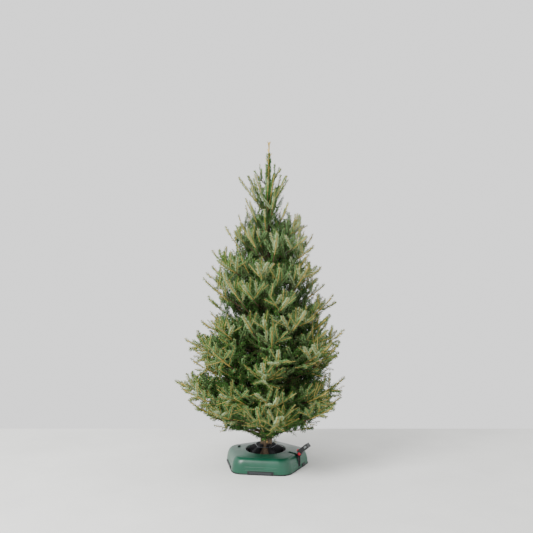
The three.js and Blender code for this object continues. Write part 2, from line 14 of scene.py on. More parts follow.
import bmesh
import bpy
import numpy as np
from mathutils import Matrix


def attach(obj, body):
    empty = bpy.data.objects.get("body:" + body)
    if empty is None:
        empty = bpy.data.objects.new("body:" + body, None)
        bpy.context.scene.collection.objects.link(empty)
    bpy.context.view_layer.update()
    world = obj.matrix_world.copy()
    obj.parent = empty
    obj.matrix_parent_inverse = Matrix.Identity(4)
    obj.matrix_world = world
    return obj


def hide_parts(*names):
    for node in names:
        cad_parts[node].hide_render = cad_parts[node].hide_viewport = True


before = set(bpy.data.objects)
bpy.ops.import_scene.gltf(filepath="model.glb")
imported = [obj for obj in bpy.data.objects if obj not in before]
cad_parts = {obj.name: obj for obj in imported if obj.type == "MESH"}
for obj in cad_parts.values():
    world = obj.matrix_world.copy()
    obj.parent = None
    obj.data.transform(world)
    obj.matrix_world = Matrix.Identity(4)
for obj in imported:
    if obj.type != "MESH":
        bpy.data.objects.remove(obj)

MM = 0.001
METRE = 1000.0
UP = np.array([0.0, 0.0, 1.0])
TREE_BODY = "tree_and_stand"
PEDAL_BODY = "pedal"

log = logging.getLogger("fir_tree")


# ---------------------------------------------------------------- numbers and vectors


class Seed(IntEnum):
    """The first seed of each stream of numbers. The solids grow from WHORL and SPRAY too."""

    WHORL = 101
    SPRAY = 500
    FINE = 9000
    BETWEEN = 7001
    BETWEEN_BRANCH = 7100
    TOP = 7301
    SKIRT = 7501
    SKIRT_BRANCH = 7600
    NEEDLES = 77
    KINDS = 5
    TRUNK_SWELL = 3
    TRUNK_GRAIN = 4
    LIMB_BUMPS = 9


def mix(a: np.ndarray | float, b: np.ndarray | float, t: np.ndarray | float) -> np.ndarray | float:
    """Return a + (b - a) t, the point a share t of the way from a to b."""
    return a + (b - a) * t


def smooth(t: np.ndarray | float) -> np.ndarray | float:
    """Return 3t^2 - 2t^3 of t held between 0 and 1, a step with soft ends."""
    held = np.clip(t, 0.0, 1.0)
    return held * held * (3.0 - 2.0 * held)


def unit(v: np.ndarray) -> np.ndarray:
    """Return each vector of the last axis divided by its length."""
    return v / np.maximum(np.linalg.norm(v, axis=-1, keepdims=True), 1e-12)


def turns(count: int) -> np.ndarray:
    """Return angles in radians that share a full turn evenly, the first at 0."""
    return np.arange(count) * 2.0 * math.pi / count


def radial(azimuth: float, reach: float = 1.0, height: float = 0.0) -> np.ndarray:
    """Return the point at a reach and a height towards an azimuth in radians."""
    return np.array([reach * math.cos(azimuth), reach * math.sin(azimuth), height])


def linear(hex_code: str) -> tuple[float, float, float, float]:
    """Turn an sRGB hex colour into linear light.

    Args:
        hex_code: six hex digits with a leading #.

    Returns:
        Red, green, blue and an alpha of 1.
    """
    channels = [int(hex_code[i:i + 2], 16) / 255.0 for i in (1, 3, 5)]
    red, green, blue = [c / 12.92 if c <= 0.04045 else ((c + 0.055) / 1.055) ** 2.4 for c in channels]
    return red, green, blue, 1.0


@dataclass
class Seeded:
    """A seeded stream of numbers from 0 to 1, the same 32-bit congruential rule as the solids use."""

    seed: int
    state: int = field(init=False)

    def __post_init__(self) -> None:
        """Scramble the seed and drop the first two numbers."""
        self.state = (self.seed * 2654435761) & 0xFFFFFFFF
        self.next()
        self.next()

    def next(self) -> float:
        """Return the next number, from 0 up to 1."""
        self.state = (self.state * 1664525 + 1013904223) & 0xFFFFFFFF
        return self.state / 4294967296.0

    def spread(self, amount: float) -> float:
        """Return the next number, stretched to run from -amount to amount."""
        return (self.next() * 2.0 - 1.0) * amount


def ripple(points: np.ndarray, wavelength: float, seed: int, waves: int = 7) -> np.ndarray:
    """Sum plane sine waves of random directions and phases, a smooth noise of about -1 to 1.

    Args:
        points: places in millimetres, the last axis holding x, y, z.
        wavelength: length of the waves in millimetres.
        seed: seed of the directions and phases.
        waves: how many waves are summed.

    Returns:
        The noise, one number for each point.
    """
    rng = np.random.default_rng(seed)
    total = np.zeros(points.shape[:-1])
    for _ in range(waves):
        direction = unit(rng.normal(size=3))
        pitch = 2.0 * math.pi / (wavelength * rng.uniform(0.7, 1.4))
        total += np.sin(points @ direction * pitch + rng.uniform(0.0, 2.0 * math.pi))
    return total / math.sqrt(waves * 2.0)


# ---------------------------------------------------------------- finishes


def add_node(
    tree: bpy.types.NodeTree,
    kind: str,
    inputs: dict[str | int, object] | None = None,
    settings: dict[str, object] | None = None,
    stops: list[tuple[float, str]] | None = None,
) -> bpy.types.Node:
    """Add a shader node with its values, links, settings and colour stops.

    Args:
        tree: the node tree that gets the node.
        kind: the node's type name.
        inputs: a value or another node's output socket for each input.
        settings: properties of the node itself.
        stops: place and sRGB hex colour of each stop in rising order, where it lays colours out.

    Returns:
        The new node.
    """
    node = tree.nodes.new(kind)
    for key, value in (settings or {}).items():
        setattr(node, key, value)
    for key, value in (inputs or {}).items():
        if isinstance(value, bpy.types.NodeSocket):
            tree.links.new(value, node.inputs[key])
        else:
            node.inputs[key].default_value = value
    if stops:
        elements = node.color_ramp.elements
        while len(elements) < len(stops):
            elements.new(0.5)
        for element, (place, hex_code) in zip(elements, stops):
            element.position = place
            element.color = linear(hex_code)
    return node


def new_material(
    name: str, surface: dict[str | int, object]
) -> tuple[bpy.types.Material, bpy.types.NodeTree, bpy.types.Node]:
    """Make a material that holds only a Principled shader.

    Args:
        name: the material's name.
        surface: the shader's values that are the same all over the surface.

    Returns:
        The material, its node tree and its shader.
    """
    material = bpy.data.materials.new(name)
    material.use_nodes = True
    tree = material.node_tree
    tree.nodes.clear()
    shader = add_node(tree, "ShaderNodeBsdfPrincipled", surface)
    add_node(tree, "ShaderNodeOutputMaterial", {"Surface": shader.outputs["BSDF"]})
    return material, tree, shader


@dataclass(frozen=True)
class Needle:
    """One side of a fir needle: a plain colour with the soft gloss of its wax.

    Colour differs from spray to spray, not within one, so each kind of spray has its own two.
    """

    name: str
    color: str
    roughness: float

    def make(self) -> bpy.types.Material:
        """Return the material: one plain colour and a waxy half-gloss."""
        surface = {"Base Color": linear(self.color), "Roughness": self.roughness, "Specular IOR Level": 0.4}
        return new_material(self.name, surface)[0]


@dataclass(frozen=True)
class Twig:
    """Bark of a young shoot: tan or grey-brown skin, mottled at the size of its leaf scars."""

    name: str
    light: str
    dark: str
    grain_mm: float = 6.0

    def make(self) -> bpy.types.Material:
        """Return the material: two tones by noise, dry and nearly matt."""
        material, tree, shader = new_material(self.name, {"Roughness": 0.78})
        place = add_node(tree, "ShaderNodeTexCoord").outputs["Object"]
        grain = {"Vector": place, "Scale": METRE / self.grain_mm, "Detail": 2.0}
        fac = add_node(tree, "ShaderNodeTexNoise", grain).outputs["Fac"]
        stops = [(0.35, self.dark), (0.65, self.light)]
        tones = add_node(tree, "ShaderNodeValToRGB", {"Fac": fac}, stops=stops)
        tree.links.new(tones.outputs["Color"], shader.inputs["Base Color"])
        return material


@dataclass(frozen=True)
class Bark:
    """Bark of a young fir stem: thin grey-brown skin with lenticels across it and resin blisters."""

    name: str
    pale: str
    brown: str
    dark: str

    def make(self) -> bpy.types.Material:
        """Return the material: noise stretched across the stem for lenticels, round spots for blisters."""
        material, tree, shader = new_material(self.name, {"Roughness": 0.85})
        place = add_node(tree, "ShaderNodeTexCoord").outputs["Object"]
        # Lenticels run round the stem, about 9 mm long and 2 mm high.
        stretch = {"Vector": place, "Scale": (110.0, 110.0, 480.0)}
        across = add_node(tree, "ShaderNodeMapping", stretch).outputs["Vector"]
        marks = {"Vector": across, "Scale": 1.0, "Detail": 4.0}
        lenticels = add_node(tree, "ShaderNodeTexNoise", marks).outputs["Fac"]
        # Broad patches of lichen-grey skin are 35 mm across.
        broad = {"Vector": place, "Scale": 28.0, "Detail": 3.0}
        patches = add_node(tree, "ShaderNodeTexNoise", broad).outputs["Fac"]
        stops = [(0.3, self.dark), (0.5, self.brown), (0.72, self.pale)]
        skin = add_node(tree, "ShaderNodeValToRGB", {"Fac": lenticels}, stops=stops).outputs["Color"]
        blend = {"Factor": patches, 6: skin, 7: linear(self.brown)}
        grey = add_node(tree, "ShaderNodeMix", blend, {"data_type": "RGBA"})
        tree.links.new(grey.outputs[2], shader.inputs["Base Color"])
        # Resin blisters are 7 mm apart.
        blisters = add_node(tree, "ShaderNodeTexVoronoi", {"Vector": place, "Scale": 140.0}).outputs["Distance"]
        height = add_node(tree, "ShaderNodeMath", {0: lenticels, 1: blisters}, {"operation": "ADD"})
        relief = {"Strength": 0.5, "Distance": 0.0012, "Height": height.outputs["Value"]}
        bump = add_node(tree, "ShaderNodeBump", relief)
        tree.links.new(bump.outputs["Normal"], shader.inputs["Normal"])
        return material


@dataclass(frozen=True)
class SawnWood:
    """Fresh end grain of sawn fir: pale straw, with yearly rings round the pith."""

    name: str
    early: str
    late: str

    def make(self) -> bpy.types.Material:
        """Return the material: rings 6 mm apart, coarser than real so that they show, dry and matt."""
        material, tree, shader = new_material(self.name, {"Roughness": 0.8})
        place = add_node(tree, "ShaderNodeTexCoord").outputs["Object"]
        rings = add_node(
            tree,
            "ShaderNodeTexWave",
            {"Vector": place, "Scale": 52.0, "Distortion": 1.5, "Detail": 2.0, "Detail Scale": 3.0},
            {"wave_type": "RINGS", "rings_direction": "Z"},
        )
        stops = [(0.2, self.early), (0.9, self.late)]
        tones = add_node(tree, "ShaderNodeValToRGB", {"Fac": rings.outputs["Fac"]}, stops=stops)
        tree.links.new(tones.outputs["Color"], shader.inputs["Base Color"])
        return material


@dataclass(frozen=True)
class Moulded:
    """Injection-moulded plastic: one pigment, slight flow clouds and a fine spark texture."""

    name: str
    color: str
    cloud: str
    roughness: float
    texture_mm: float = 1.6
    coat: float = 0.0
    bump: float = 0.06

    def make(self) -> bpy.types.Material:
        """Return the material: two near tones, a fine bump, roughness that changes slowly."""
        surface = {"IOR": 1.5, "Coat Weight": self.coat, "Coat Roughness": 0.12}
        material, tree, shader = new_material(self.name, surface)
        place = add_node(tree, "ShaderNodeTexCoord").outputs["Object"]
        # Flow clouds in the pigment are about 60 mm across.
        clouds = add_node(tree, "ShaderNodeTexNoise", {"Vector": place, "Scale": 16.0, "Detail": 3.0})
        fac = clouds.outputs["Fac"]
        stops = [(0.35, self.color), (0.7, self.cloud)]
        tones = add_node(tree, "ShaderNodeValToRGB", {"Fac": fac}, stops=stops)
        tree.links.new(tones.outputs["Color"], shader.inputs["Base Color"])
        worn = {"Value": fac, "From Min": 0.3, "From Max": 0.7}
        worn |= {"To Min": self.roughness * 0.85, "To Max": self.roughness * 1.2}
        rough = add_node(tree, "ShaderNodeMapRange", worn)
        tree.links.new(rough.outputs["Result"], shader.inputs["Roughness"])
        # The mould's spark texture, drawn coarser than the real 0.2 mm so that it shows.
        spark = {"Vector": place, "Scale": METRE / self.texture_mm, "Detail": 2.0}
        grain = add_node(tree, "ShaderNodeTexNoise", spark)
        relief = {"Strength": self.bump, "Distance": 0.0004, "Height": grain.outputs["Fac"]}
        bump = add_node(tree, "ShaderNodeBump", relief)
        tree.links.new(bump.outputs["Normal"], shader.inputs["Normal"])
        return material


@dataclass(frozen=True)
class DrawnSteel:
    """Drawn galvanised wire: bright grey metal with faint marks along the strands."""

    name: str
    color: str

    def make(self) -> bpy.types.Material:
        """Return the material: full metal, roughness varied by marks 2.5 mm across."""
        material, tree, shader = new_material(self.name, {"Base Color": linear(self.color), "Metallic": 1.0})
        place = add_node(tree, "ShaderNodeTexCoord").outputs["Object"]
        marks = add_node(tree, "ShaderNodeTexNoise", {"Vector": place, "Scale": 400.0})
        worn = {"Value": marks.outputs["Fac"], "To Min": 0.22, "To Max": 0.42}
        rough = add_node(tree, "ShaderNodeMapRange", worn)
        tree.links.new(rough.outputs["Result"], shader.inputs["Roughness"])
        return material


@dataclass(frozen=True)
class Plaster:
    """A pale trowelled studio floor."""

    name: str
    color: str
    shade: str

    def make(self) -> bpy.types.Material:
        """Return the material: two near greys in broad trowel marks half a metre across, matt."""
        material, tree, shader = new_material(self.name, {"Roughness": 0.9})
        place = add_node(tree, "ShaderNodeTexCoord").outputs["Object"]
        broad = {"Vector": place, "Scale": 2.2, "Detail": 7.0, "Roughness": 0.62}
        fac = add_node(tree, "ShaderNodeTexNoise", broad).outputs["Fac"]
        stops = [(0.35, self.shade), (0.65, self.color)]
        tones = add_node(tree, "ShaderNodeValToRGB", {"Fac": fac}, stops=stops)
        tree.links.new(tones.outputs["Color"], shader.inputs["Base Color"])
        return material


class Spray(Enum):
    """The kinds of spray, from the shaded heart of the crown to its outer shell, darkest to lightest: partly the
    real darker green of older growth, partly painted shade.
    """

    HEART = 0
    INNER = 1
    OUTER = 2
    SHELL = 3


# Upper and lower face of the needles of each kind of spray. Firs have two waxy white bands under each needle, so the
# undersides read as silver-green. The greens run from near black in the heart to pale in the shell: partly the real
# darker older growth inside, partly painted shade of the crown's interior.
NEEDLES = {
    Spray.HEART: (Needle("needle_top_heart", "#123A02", 0.5), Needle("needle_under_heart", "#204A0C", 0.6)),
    Spray.INNER: (Needle("needle_top_inner", "#265C06", 0.48), Needle("needle_under_inner", "#3C6E22", 0.6)),
    Spray.OUTER: (Needle("needle_top_outer", "#4A7428", 0.46), Needle("needle_under_outer", "#6E9256", 0.6)),
    Spray.SHELL: (Needle("needle_top_shell", "#6E9048", 0.46), Needle("needle_under_shell", "#9AB280", 0.6)),
}
YOUNG_TWIG = Twig("young_shoot_bark", "#C4AA5C", "#98823E")
# Dark brown bark of the twigs deep in the crown: partly older bark, partly painted shade.
SHADED_OLD_TWIG = Twig("shaded_older_twig_bark", "#57502C", "#34301A")
BUD = Twig("resin_bud", "#B4905A", "#8A6A3A", 3.0)
STEM_BARK = Bark("fir_stem_bark", "#8F8067", "#685744", "#42372B")
LIMB_BARK = Bark("fir_limb_bark", "#857459", "#655038", "#3F3222")
SAWN = SawnWood("sawn_fir_end", "#D9BF8E", "#B48F58")
SHELL_PLASTIC = Moulded("green_polypropylene", "#074430", "#0B4D38", 0.37, coat=0.07)
BLACK_PLASTIC = Moulded("black_polypropylene", "#121415", "#1A1C1D", 0.5)
HANDLE_PLASTIC = Moulded("grey_handle_plastic", "#23282B", "#2C3235", 0.5)
CLAW_PLASTIC = Moulded("black_glass_filled_nylon", "#191A1C", "#26282A", 0.46, 1.2, bump=0.12)
PEDAL_PLASTIC = Moulded("black_nylon", "#1A1B1D", "#222426", 0.42)
GRIP_RUBBER = Moulded("grey_tread_rubber", "#7E8284", "#8C9092", 0.7, 1.0, bump=0.15)
RED_PLASTIC = Moulded("red_abs", "#C01028", "#CE1830", 0.3, coat=0.3)
WIRE = DrawnSteel("galvanised_wire", "#6C7074")
FLOOR = Plaster("troweled_floor", "#DEDEDB", "#D6D6D3")


# ---------------------------------------------------------------- meshes


def fill_mesh(name: str, verts_mm: np.ndarray, faces: list[np.ndarray]) -> bpy.types.Mesh:
    """Make a mesh of vertices in millimetres and arrays of faces.

    Args:
        name: the mesh's name.
        verts_mm: places of the vertices, one row each.
        faces: arrays of vertex numbers, one row a face, each array with its own number of corners.

    Returns:
        The mesh, in metres.
    """
    verts = np.ascontiguousarray(verts_mm.reshape(-1, 3) * MM, dtype=np.float32)
    corners = np.concatenate([f.ravel() for f in faces]).astype(np.int32)
    totals = np.concatenate([np.full(len(f), f.shape[1], dtype=np.int32) for f in faces])
    starts = np.concatenate([[0], np.cumsum(totals)[:-1]]).astype(np.int32)
    mesh = bpy.data.meshes.new(name)
    mesh.vertices.add(len(verts))
    mesh.vertices.foreach_set("co", verts.ravel())
    mesh.loops.add(len(corners))
    mesh.loops.foreach_set("vertex_index", corners)
    mesh.polygons.add(len(totals))
    mesh.polygons.foreach_set("loop_start", starts)
    mesh.update(calc_edges=True)
    return mesh


def grid_faces(rows: int, columns: int, wrap_rows: bool = False, wrap_columns: bool = False) -> np.ndarray:
    """Number the quads of a grid whose vertex (i, j) has number i * columns + j.

    Args:
        rows: number of rows of vertices.
        columns: number of vertices in a row.
        wrap_rows: whether the last row joins the first.
        wrap_columns: whether each row closes on itself.

    Returns:
        One row of four vertex numbers for each quad.
    """
    i = np.arange(rows if wrap_rows else rows - 1)[:, None]
    j = np.arange(columns if wrap_columns else columns - 1)[None, :]
    k, l = (i + 1) % rows, (j + 1) % columns
    quads = np.stack([i * columns + j, i * columns + l, k * columns + l, k * columns + j], axis=-1)
    return quads.reshape(-1, 4)


def tubes(
    paths: np.ndarray, radii: np.ndarray, sides: int, refs: np.ndarray
) -> tuple[np.ndarray, list[np.ndarray]]:
    """Carry a round section along many paths at once, and close both ends of each.

    A vertex is its path's point plus radius times (cos a side + sin a over), where side is square to
    the path and to a reference direction, over is square to both, and a runs round the section.

    Args:
        paths: points, shaped (tube, point, 3).
        radii: radius at each point, shaped (tube, point).
        sides: number of sides of the section.
        refs: a reference direction for each tube, not along it, shaped (tube, 3).

    Returns:
        The vertices and the arrays of faces.
    """
    count, length, _ = paths.shape
    along = unit(np.gradient(paths, axis=1))
    side = unit(np.cross(refs[:, None, :], along))
    over = np.cross(along, side)
    turn = turns(sides)[:, None]
    ring = np.cos(turn) * side[:, :, None, :] + np.sin(turn) * over[:, :, None, :]
    verts = paths[:, :, None, :] + radii[:, :, None, None] * ring
    base = (np.arange(count) * length * sides)[:, None, None]
    walls = (grid_faces(length, sides, wrap_columns=True)[None] + base).reshape(-1, 4)
    ends = np.arange(sides)[None, :]
    foot = ends[:, ::-1] + base[:, :, 0]
    tip = ends + (length - 1) * sides + base[:, :, 0]
    return verts.reshape(-1, 3), [walls, foot, tip]


def turned(radii: np.ndarray, heights: np.ndarray) -> np.ndarray:
    """Turn a profile round the axis: row i stands at the angle 2 pi i / rows.

    Args:
        radii: radius of each point of the profile in each row, shaped (row, point).
        heights: height of each point, shaped (1, point) or (row, point).

    Returns:
        The vertices (r cos a, r sin a, z), shaped (row, point, 3).
    """
    angle = turns(len(radii))[:, None]
    return np.stack([radii * np.cos(angle), radii * np.sin(angle), heights * np.ones_like(radii)], axis=-1)


def turned_faces(rows: int, columns: int) -> list[np.ndarray]:
    """Number the faces of a turned profile whose two ends are closed by a flat disc each."""
    first = (np.arange(rows) * columns)[None, :]
    return [grid_faces(rows, columns, wrap_rows=True)[:, ::-1], first[:, ::-1], first + columns - 1]


def add_piece(
    mesh: bpy.types.Mesh,
    finishes: list[bpy.types.Material],
    body: str = TREE_BODY,
    replaced: list[str] | None = None,
    face_finish: np.ndarray | None = None,
    smooth_angle: float | None = 40.0,
) -> bpy.types.Object:
    """Put a finished mesh into the scene as a piece that rides on a body.

    Args:
        mesh: the mesh, in metres.
        finishes: its materials.
        body: the body that it moves with.
        replaced: solids that it stands for.
        face_finish: index of the material of each face.
        smooth_angle: faces that meet at less than this many degrees are shaded smooth; None is flat.

    Returns:
        The piece.
    """
    for finish in finishes:
        mesh.materials.append(finish)
    if face_finish is not None:
        mesh.polygons.foreach_set("material_index", face_finish.astype(np.int32))
    if smooth_angle is not None:
        shade_smooth(mesh, smooth_angle)
    piece = bpy.data.objects.new(mesh.name, mesh)
    bpy.context.scene.collection.objects.link(piece)
    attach(piece, body)
    if replaced:
        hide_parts(*replaced)
    log.info("%s: %d faces, on %s", piece.name, len(mesh.polygons), body)
    return piece


def shade_smooth(mesh: bpy.types.Mesh, angle: float) -> None:
    """Shade a mesh smooth where its faces meet at less than an angle in degrees."""
    mesh.polygons.foreach_set("use_smooth", np.ones(len(mesh.polygons), dtype=bool))
    mesh.set_sharp_from_angle(angle=math.radians(angle))


# ---------------------------------------------------------------- the tree's skeleton


@dataclass
class TrunkLine:
    """Centre line and radius of the trunk: slight lean, one slow sway, butt flare, even taper."""

    cut_z: float = 18.0
    tip_z: float = 1608.0
    lean_x: float = 17.0
    sway_x: float = 4.0
    sway_y: float = 5.0
    butt_radius: float = 31.0
    flare: float = 3.0
    flare_height: float = 60.0
    leader_z: float = 1290.0
    leader_radius: float = 5.0
    tip_radius: float = 3.2

    def centre(self, z: np.ndarray | float) -> np.ndarray:
        """Return the centre at height z: x leans linearly plus a full sine, y is half a sine."""
        z = np.asarray(z, dtype=float)
        t = (z - self.cut_z) / (self.tip_z - self.cut_z)
        x = self.lean_x * t + self.sway_x * np.sin(2.0 * math.pi * t)
        return np.stack([x, self.sway_y * np.sin(math.pi * t), z], axis=-1)

    def radius(self, z: np.ndarray | float) -> np.ndarray:
        """Return the radius at height z: linear to the leader, linear along it, wider at the foot."""
        z = np.asarray(z, dtype=float)
        flare = self.flare * (1.0 - smooth((z - self.cut_z) / self.flare_height))
        body = mix(self.butt_radius, self.leader_radius, (z - self.cut_z) / (self.leader_z - self.cut_z))
        leader = mix(self.leader_radius, self.tip_radius, (z - self.leader_z) / (self.tip_z - self.leader_z))
        return np.where(z > self.leader_z, leader, flare + body)


@dataclass(frozen=True)
class Whorl:
    """One whorl of branches: place on the trunk, number, turn of the first, rise and its upturn."""

    z: float
    count: int
    turn: float
    rise: float
    upturn: float


@dataclass
class Branch:
    """One branch: a centre line that leaves the trunk, sweeps aside and turns up to its tip."""

    name: str
    root: np.ndarray
    start: float
    reach: float
    azimuth: float
    sweep: float
    rise: float
    upturn: float
    length: float
    foot: float
    taper: float
    share: float = 0.0

    def centre(self, t: np.ndarray | float) -> np.ndarray:
        """Return the centre line at the share t: radius linear, height linear plus a square."""
        t = np.asarray(t, dtype=float)
        turn = np.radians(self.azimuth + self.sweep * t * t)
        r = mix(self.start, self.reach, t)
        lift = self.rise * mix(t, t * t, self.upturn)
        return self.root + np.stack([r * np.cos(turn), r * np.sin(turn), lift], axis=-1)

    def radius(self, t: np.ndarray | float) -> np.ndarray:
        """Return the limb's radius at the share t, an even taper."""
        return self.foot * mix(1.0, self.taper, np.asarray(t, dtype=float))


class Order(IntEnum):
    """What a shoot is: a run of needles along a limb or the leader, a side branch, a shoot on a side
    branch, a thick upright shoot at the top, or a bare spur with a bud."""

    RUN = 0
    SIDE = 1
    SHOOT = 2
    CANDLE = 3
    SPUR = 4


@dataclass(frozen=True)
class ShootRows:
    """Shoots as arrays, one row each, every upper direction square to its shoot."""

    root: np.ndarray
    along: np.ndarray
    up: np.ndarray
    length: np.ndarray
    order: np.ndarray
    bare: np.ndarray
    girth: np.ndarray
    curl: float

    def take(self, rows: np.ndarray) -> "ShootRows":
        """Return the rows of a mask or of a list of numbers, which may name a row many times."""
        columns = [getattr(self, column.name)[rows] for column in fields(self)[:-1]]
        return ShootRows(*columns, self.curl)

    def at(self, s: np.ndarray) -> np.ndarray:
        """Return the place at the share s of each shoot: root + L s along + curl L s^2 up."""
        reach = (self.length * s)[:, None]
        return self.root + self.along * reach + self.up * (self.curl * reach * s[:, None])


@dataclass
class Shoots:
    """A growing list of shoots, each a slightly upturned line from a root."""

    curl: float = 0.09
    items: list[tuple] = field(default_factory=list)

    def add(
        self,
        root: np.ndarray,
        along: np.ndarray,
        up: np.ndarray,
        length: float,
        order: Order,
        bare: float,
        girth: float = 1.0,
    ) -> None:
        """Add a shoot.

        Args:
            root: where it starts.
            along: its direction at the root, a unit vector.
            up: the direction that its upper side faces.
            length: its length.
            order: what it is.
            bare: share of its length, from the root, that has no needles.
            girth: radius of the bark that its needles stand on.
        """
        self.items.append((root, along, up, length, order, bare, girth))

    def rows(self) -> ShootRows:
        """Return the shoots as arrays."""
        root, along, up, *rest = (np.array(column) for column in zip(*self.items))
        along = unit(along)
        up = unit(up - along * np.sum(up * along, axis=1, keepdims=True))
        return ShootRows(root, along, up, *rest, self.curl)

    def point(self, index: int, s: float) -> np.ndarray:
        """Return the place at the share s of one shoot: root + L s along + curl L s^2 up."""
        root, along, up, length = self.items[index][:4]
        return root + along * length * s + up * self.curl * length * s * s


@dataclass
class Skeleton:
    """Every limb and twig of the tree, by the solids' rule and carried on to single shoots.

    Lengths and heights are in millimetres, angles in degrees. A spread is the most that a value is
    drawn to either side. A share is of a branch's or a shoot's length unless its comment says more.
    """

    trunk: TrunkLine = field(default_factory=TrunkLine)
    # The rule that the solids share.
    whorls_with_limbs: int = 2
    bare_share: float = 0.3
    thickness: float = 0.021
    taper: float = 0.35
    turn_spread: float = 9.0
    reach_spread: float = 0.09
    root_spread: float = 9.0
    root_depth: float = 0.4
    bark_clear: float = 0.75
    sweep: float = 5.0
    increment: float = 116.0
    angle: float = 52.0
    angle_spread: float = 8.0
    lift: float = 13.0
    riser_angle: float = 42.0
    riser_share: float = 0.85
    roll: float = 60.0
    shrink: float = 0.82
    longest: float = 200.0
    shortest: float = 84.0
    node_margin: float = 0.04
    last_node: float = 0.9
    # Height, and how far the crown reaches there to the left and to the right.
    crown: tuple[tuple[float, float, float], ...] = (
        (120, 120, 140),
        (240, 290, 320),
        (330, 385, 400),
        (400, 430, 350),
        (480, 370, 335),
        (600, 395, 368),
        (720, 335, 325),
        (850, 300, 300),
        (975, 285, 245),
        (1110, 215, 255),
        (1210, 180, 178),
        (1290, 115, 140),
        (1360, 122, 136),
        (1440, 92, 78),
        (1500, 40, 40),
    )
    whorls: tuple[Whorl, ...] = (
        Whorl(138, 4, 2, 190, 0.45),
        Whorl(252, 5, 37, 160, 0.3),
        Whorl(400, 5, 3, 215, 0.35),
        Whorl(545, 5, 38, 215, 0.3),
        Whorl(700, 4, 12, 205, 0.25),
        Whorl(850, 4, 57, 195, 0.25),
        Whorl(995, 3, 20, 185, 0.3),
        Whorl(1125, 3, 80, 180, 0.35),
        Whorl(1255, 3, 26, 180, 0.35),
        Whorl(1385, 2, 170, 85, 0.2),
    )
    # Side branches at the half years: angle, lift and length, then the upright shoot there.
    half_angle_spread: float = 12.0
    half_lift: float = 26.0
    half_lift_spread: float = 30.0
    half_shrink: float = 0.66
    half_length: tuple[float, float] = (78.0, 150.0)
    half_riser_angle: float = 56.0
    half_riser_spread: float = 16.0
    half_riser_shrink: float = 0.64
    half_riser_length: tuple[float, float] = (82.0, 140.0)
    half_spread: float = 0.2
    end_share: float = 0.86
    # Shoots in pairs on a side branch: place, angle low and high in the crown, lift and length.
    shoot_step: float = 92.0
    shoot_places: tuple[float, float] = (0.1, 0.68)
    shoot_angles: tuple[float, float] = (47.0, 36.0)
    shoot_angle_spread: float = 9.0
    shoot_lift: float = 6.0
    shoot_lift_spread: float = 20.0
    shoot_shrink: float = 0.86
    shoot_spread: float = 0.18
    shoot_length: tuple[float, float] = (60.0, 112.0)
    upturn_low: float = 0.12
    upturn_high: float = 0.42
    # Smaller branches between the whorls: number in a gap, then height of the tip and its reach as
    # a share of the crown's there.
    between_count: int = 14
    between_reach: tuple[tuple[float, float], ...] = (
        (300, 1.03),
        (650, 1.1),
        (850, 1.08),
        (1130, 1.16),
        (1300, 1.0),
    )
    between_reach_spread: float = 0.08
    between_rise: float = 0.9
    between_rise_spread: float = 0.45
    between_bare: tuple[float, float] = (0.08, 0.3)
    between_bare_fade: float = 400.0
    golden_angle: float = 137.5
    azimuth_spread: float = 14.0
    small_thickness: float = 0.012
    small_least: float = 2.2
    small_upturn: float = 0.4
    small_taper: float = 0.45
    # Nearly level branches round the foot of the crown, and the shoots that hang there.
    skirt_count: int = 9
    skirt_foot: float = 154.0
    skirt_foot_spread: float = 14.0
    skirt_rise: float = 26.0
    skirt_rise_spread: float = 26.0
    skirt_reach: float = 0.98
    skirt_reach_spread: float = 0.1
    skirt_bare: float = 0.12
    skirt_turn: float = 20.0
    hang_foot: float = 184.0
    hang_top: float = 640.0
    hang_drop: float = 30.0
    hang_drop_spread: float = 16.0
    hang_aside: float = 0.55
    hang_aside_spread: float = 0.3
    hang_length: float = 104.0
    hang_spread: float = 24.0
    hang_least: float = 40.0
    skirt_z: float = 118.0
    crown_foot: float = 250.0
    crown_top: float = 1250.0
    # Upright shoots under the leader, the leader's runs of needles, and its spurs.
    candle_z: float = 1268.0
    candle_z_spread: float = 24.0
    candle_turn: float = 0.35
    candle_turn_spread: float = 12.0
    candle_rise: float = 142.0
    candle_rise_spread: float = 40.0
    candle_reach: float = 142.0
    candle_reach_spread: float = 20.0
    candle_count: int = 8
    candle_bare: float = 0.08
    candle_girth: float = 2.4
    single_foot: float = 1080.0
    single_top: float = 1240.0
    leader_foot: float = 1200.0
    leader_top: float = 1556.0
    leader_steps: int = 7
    twiglet_z: float = 1404.0
    twiglet_way: tuple[float, float, float] = (-1.0, -0.2, 0.42)
    twiglet_length: float = 58.0
    spur_count: int = 11
    tuft_count: int = 4
    spur_heights: tuple[float, float] = (1448.0, 1588.0)
    spur_turn: float = 150.0
    spur_rise: float = 0.9
    tuft_rise: float = 1.4
    spur_length: float = 20.0
    tuft_length: float = 12.0
    tuft_drop: float = 4.0
    branches: list[Branch] = field(default_factory=list)
    shoots: Shoots = field(default_factory=Shoots)

    def upturned(self, node: np.ndarray, way: np.ndarray) -> np.ndarray:
        """Turn a direction upward, the more the higher it starts, as shoots do towards the light."""
        high = float(smooth((node[2] - self.crown_foot) / (self.crown_top - self.crown_foot)))
        return unit(way + np.array([0.0, 0.0, mix(self.upturn_low, self.upturn_high, high)]))

    def crown_reach(self, z: np.ndarray | float, azimuth: np.ndarray | float) -> np.ndarray | float:
        """Return how far the crown reaches at height z towards an azimuth in degrees."""
        heights, left, right = np.array(self.crown, dtype=float).T
        rightness = (1.0 + np.cos(np.radians(azimuth))) / 2.0
        return mix(np.interp(z, heights, left), np.interp(z, heights, right), rightness)

    def single(self, z: float) -> float:
        """Return how far a shoot at height z stands single and slender, from 0 to 1 at the top."""
        return float(smooth((z - self.single_foot) / (self.single_top - self.single_foot)))

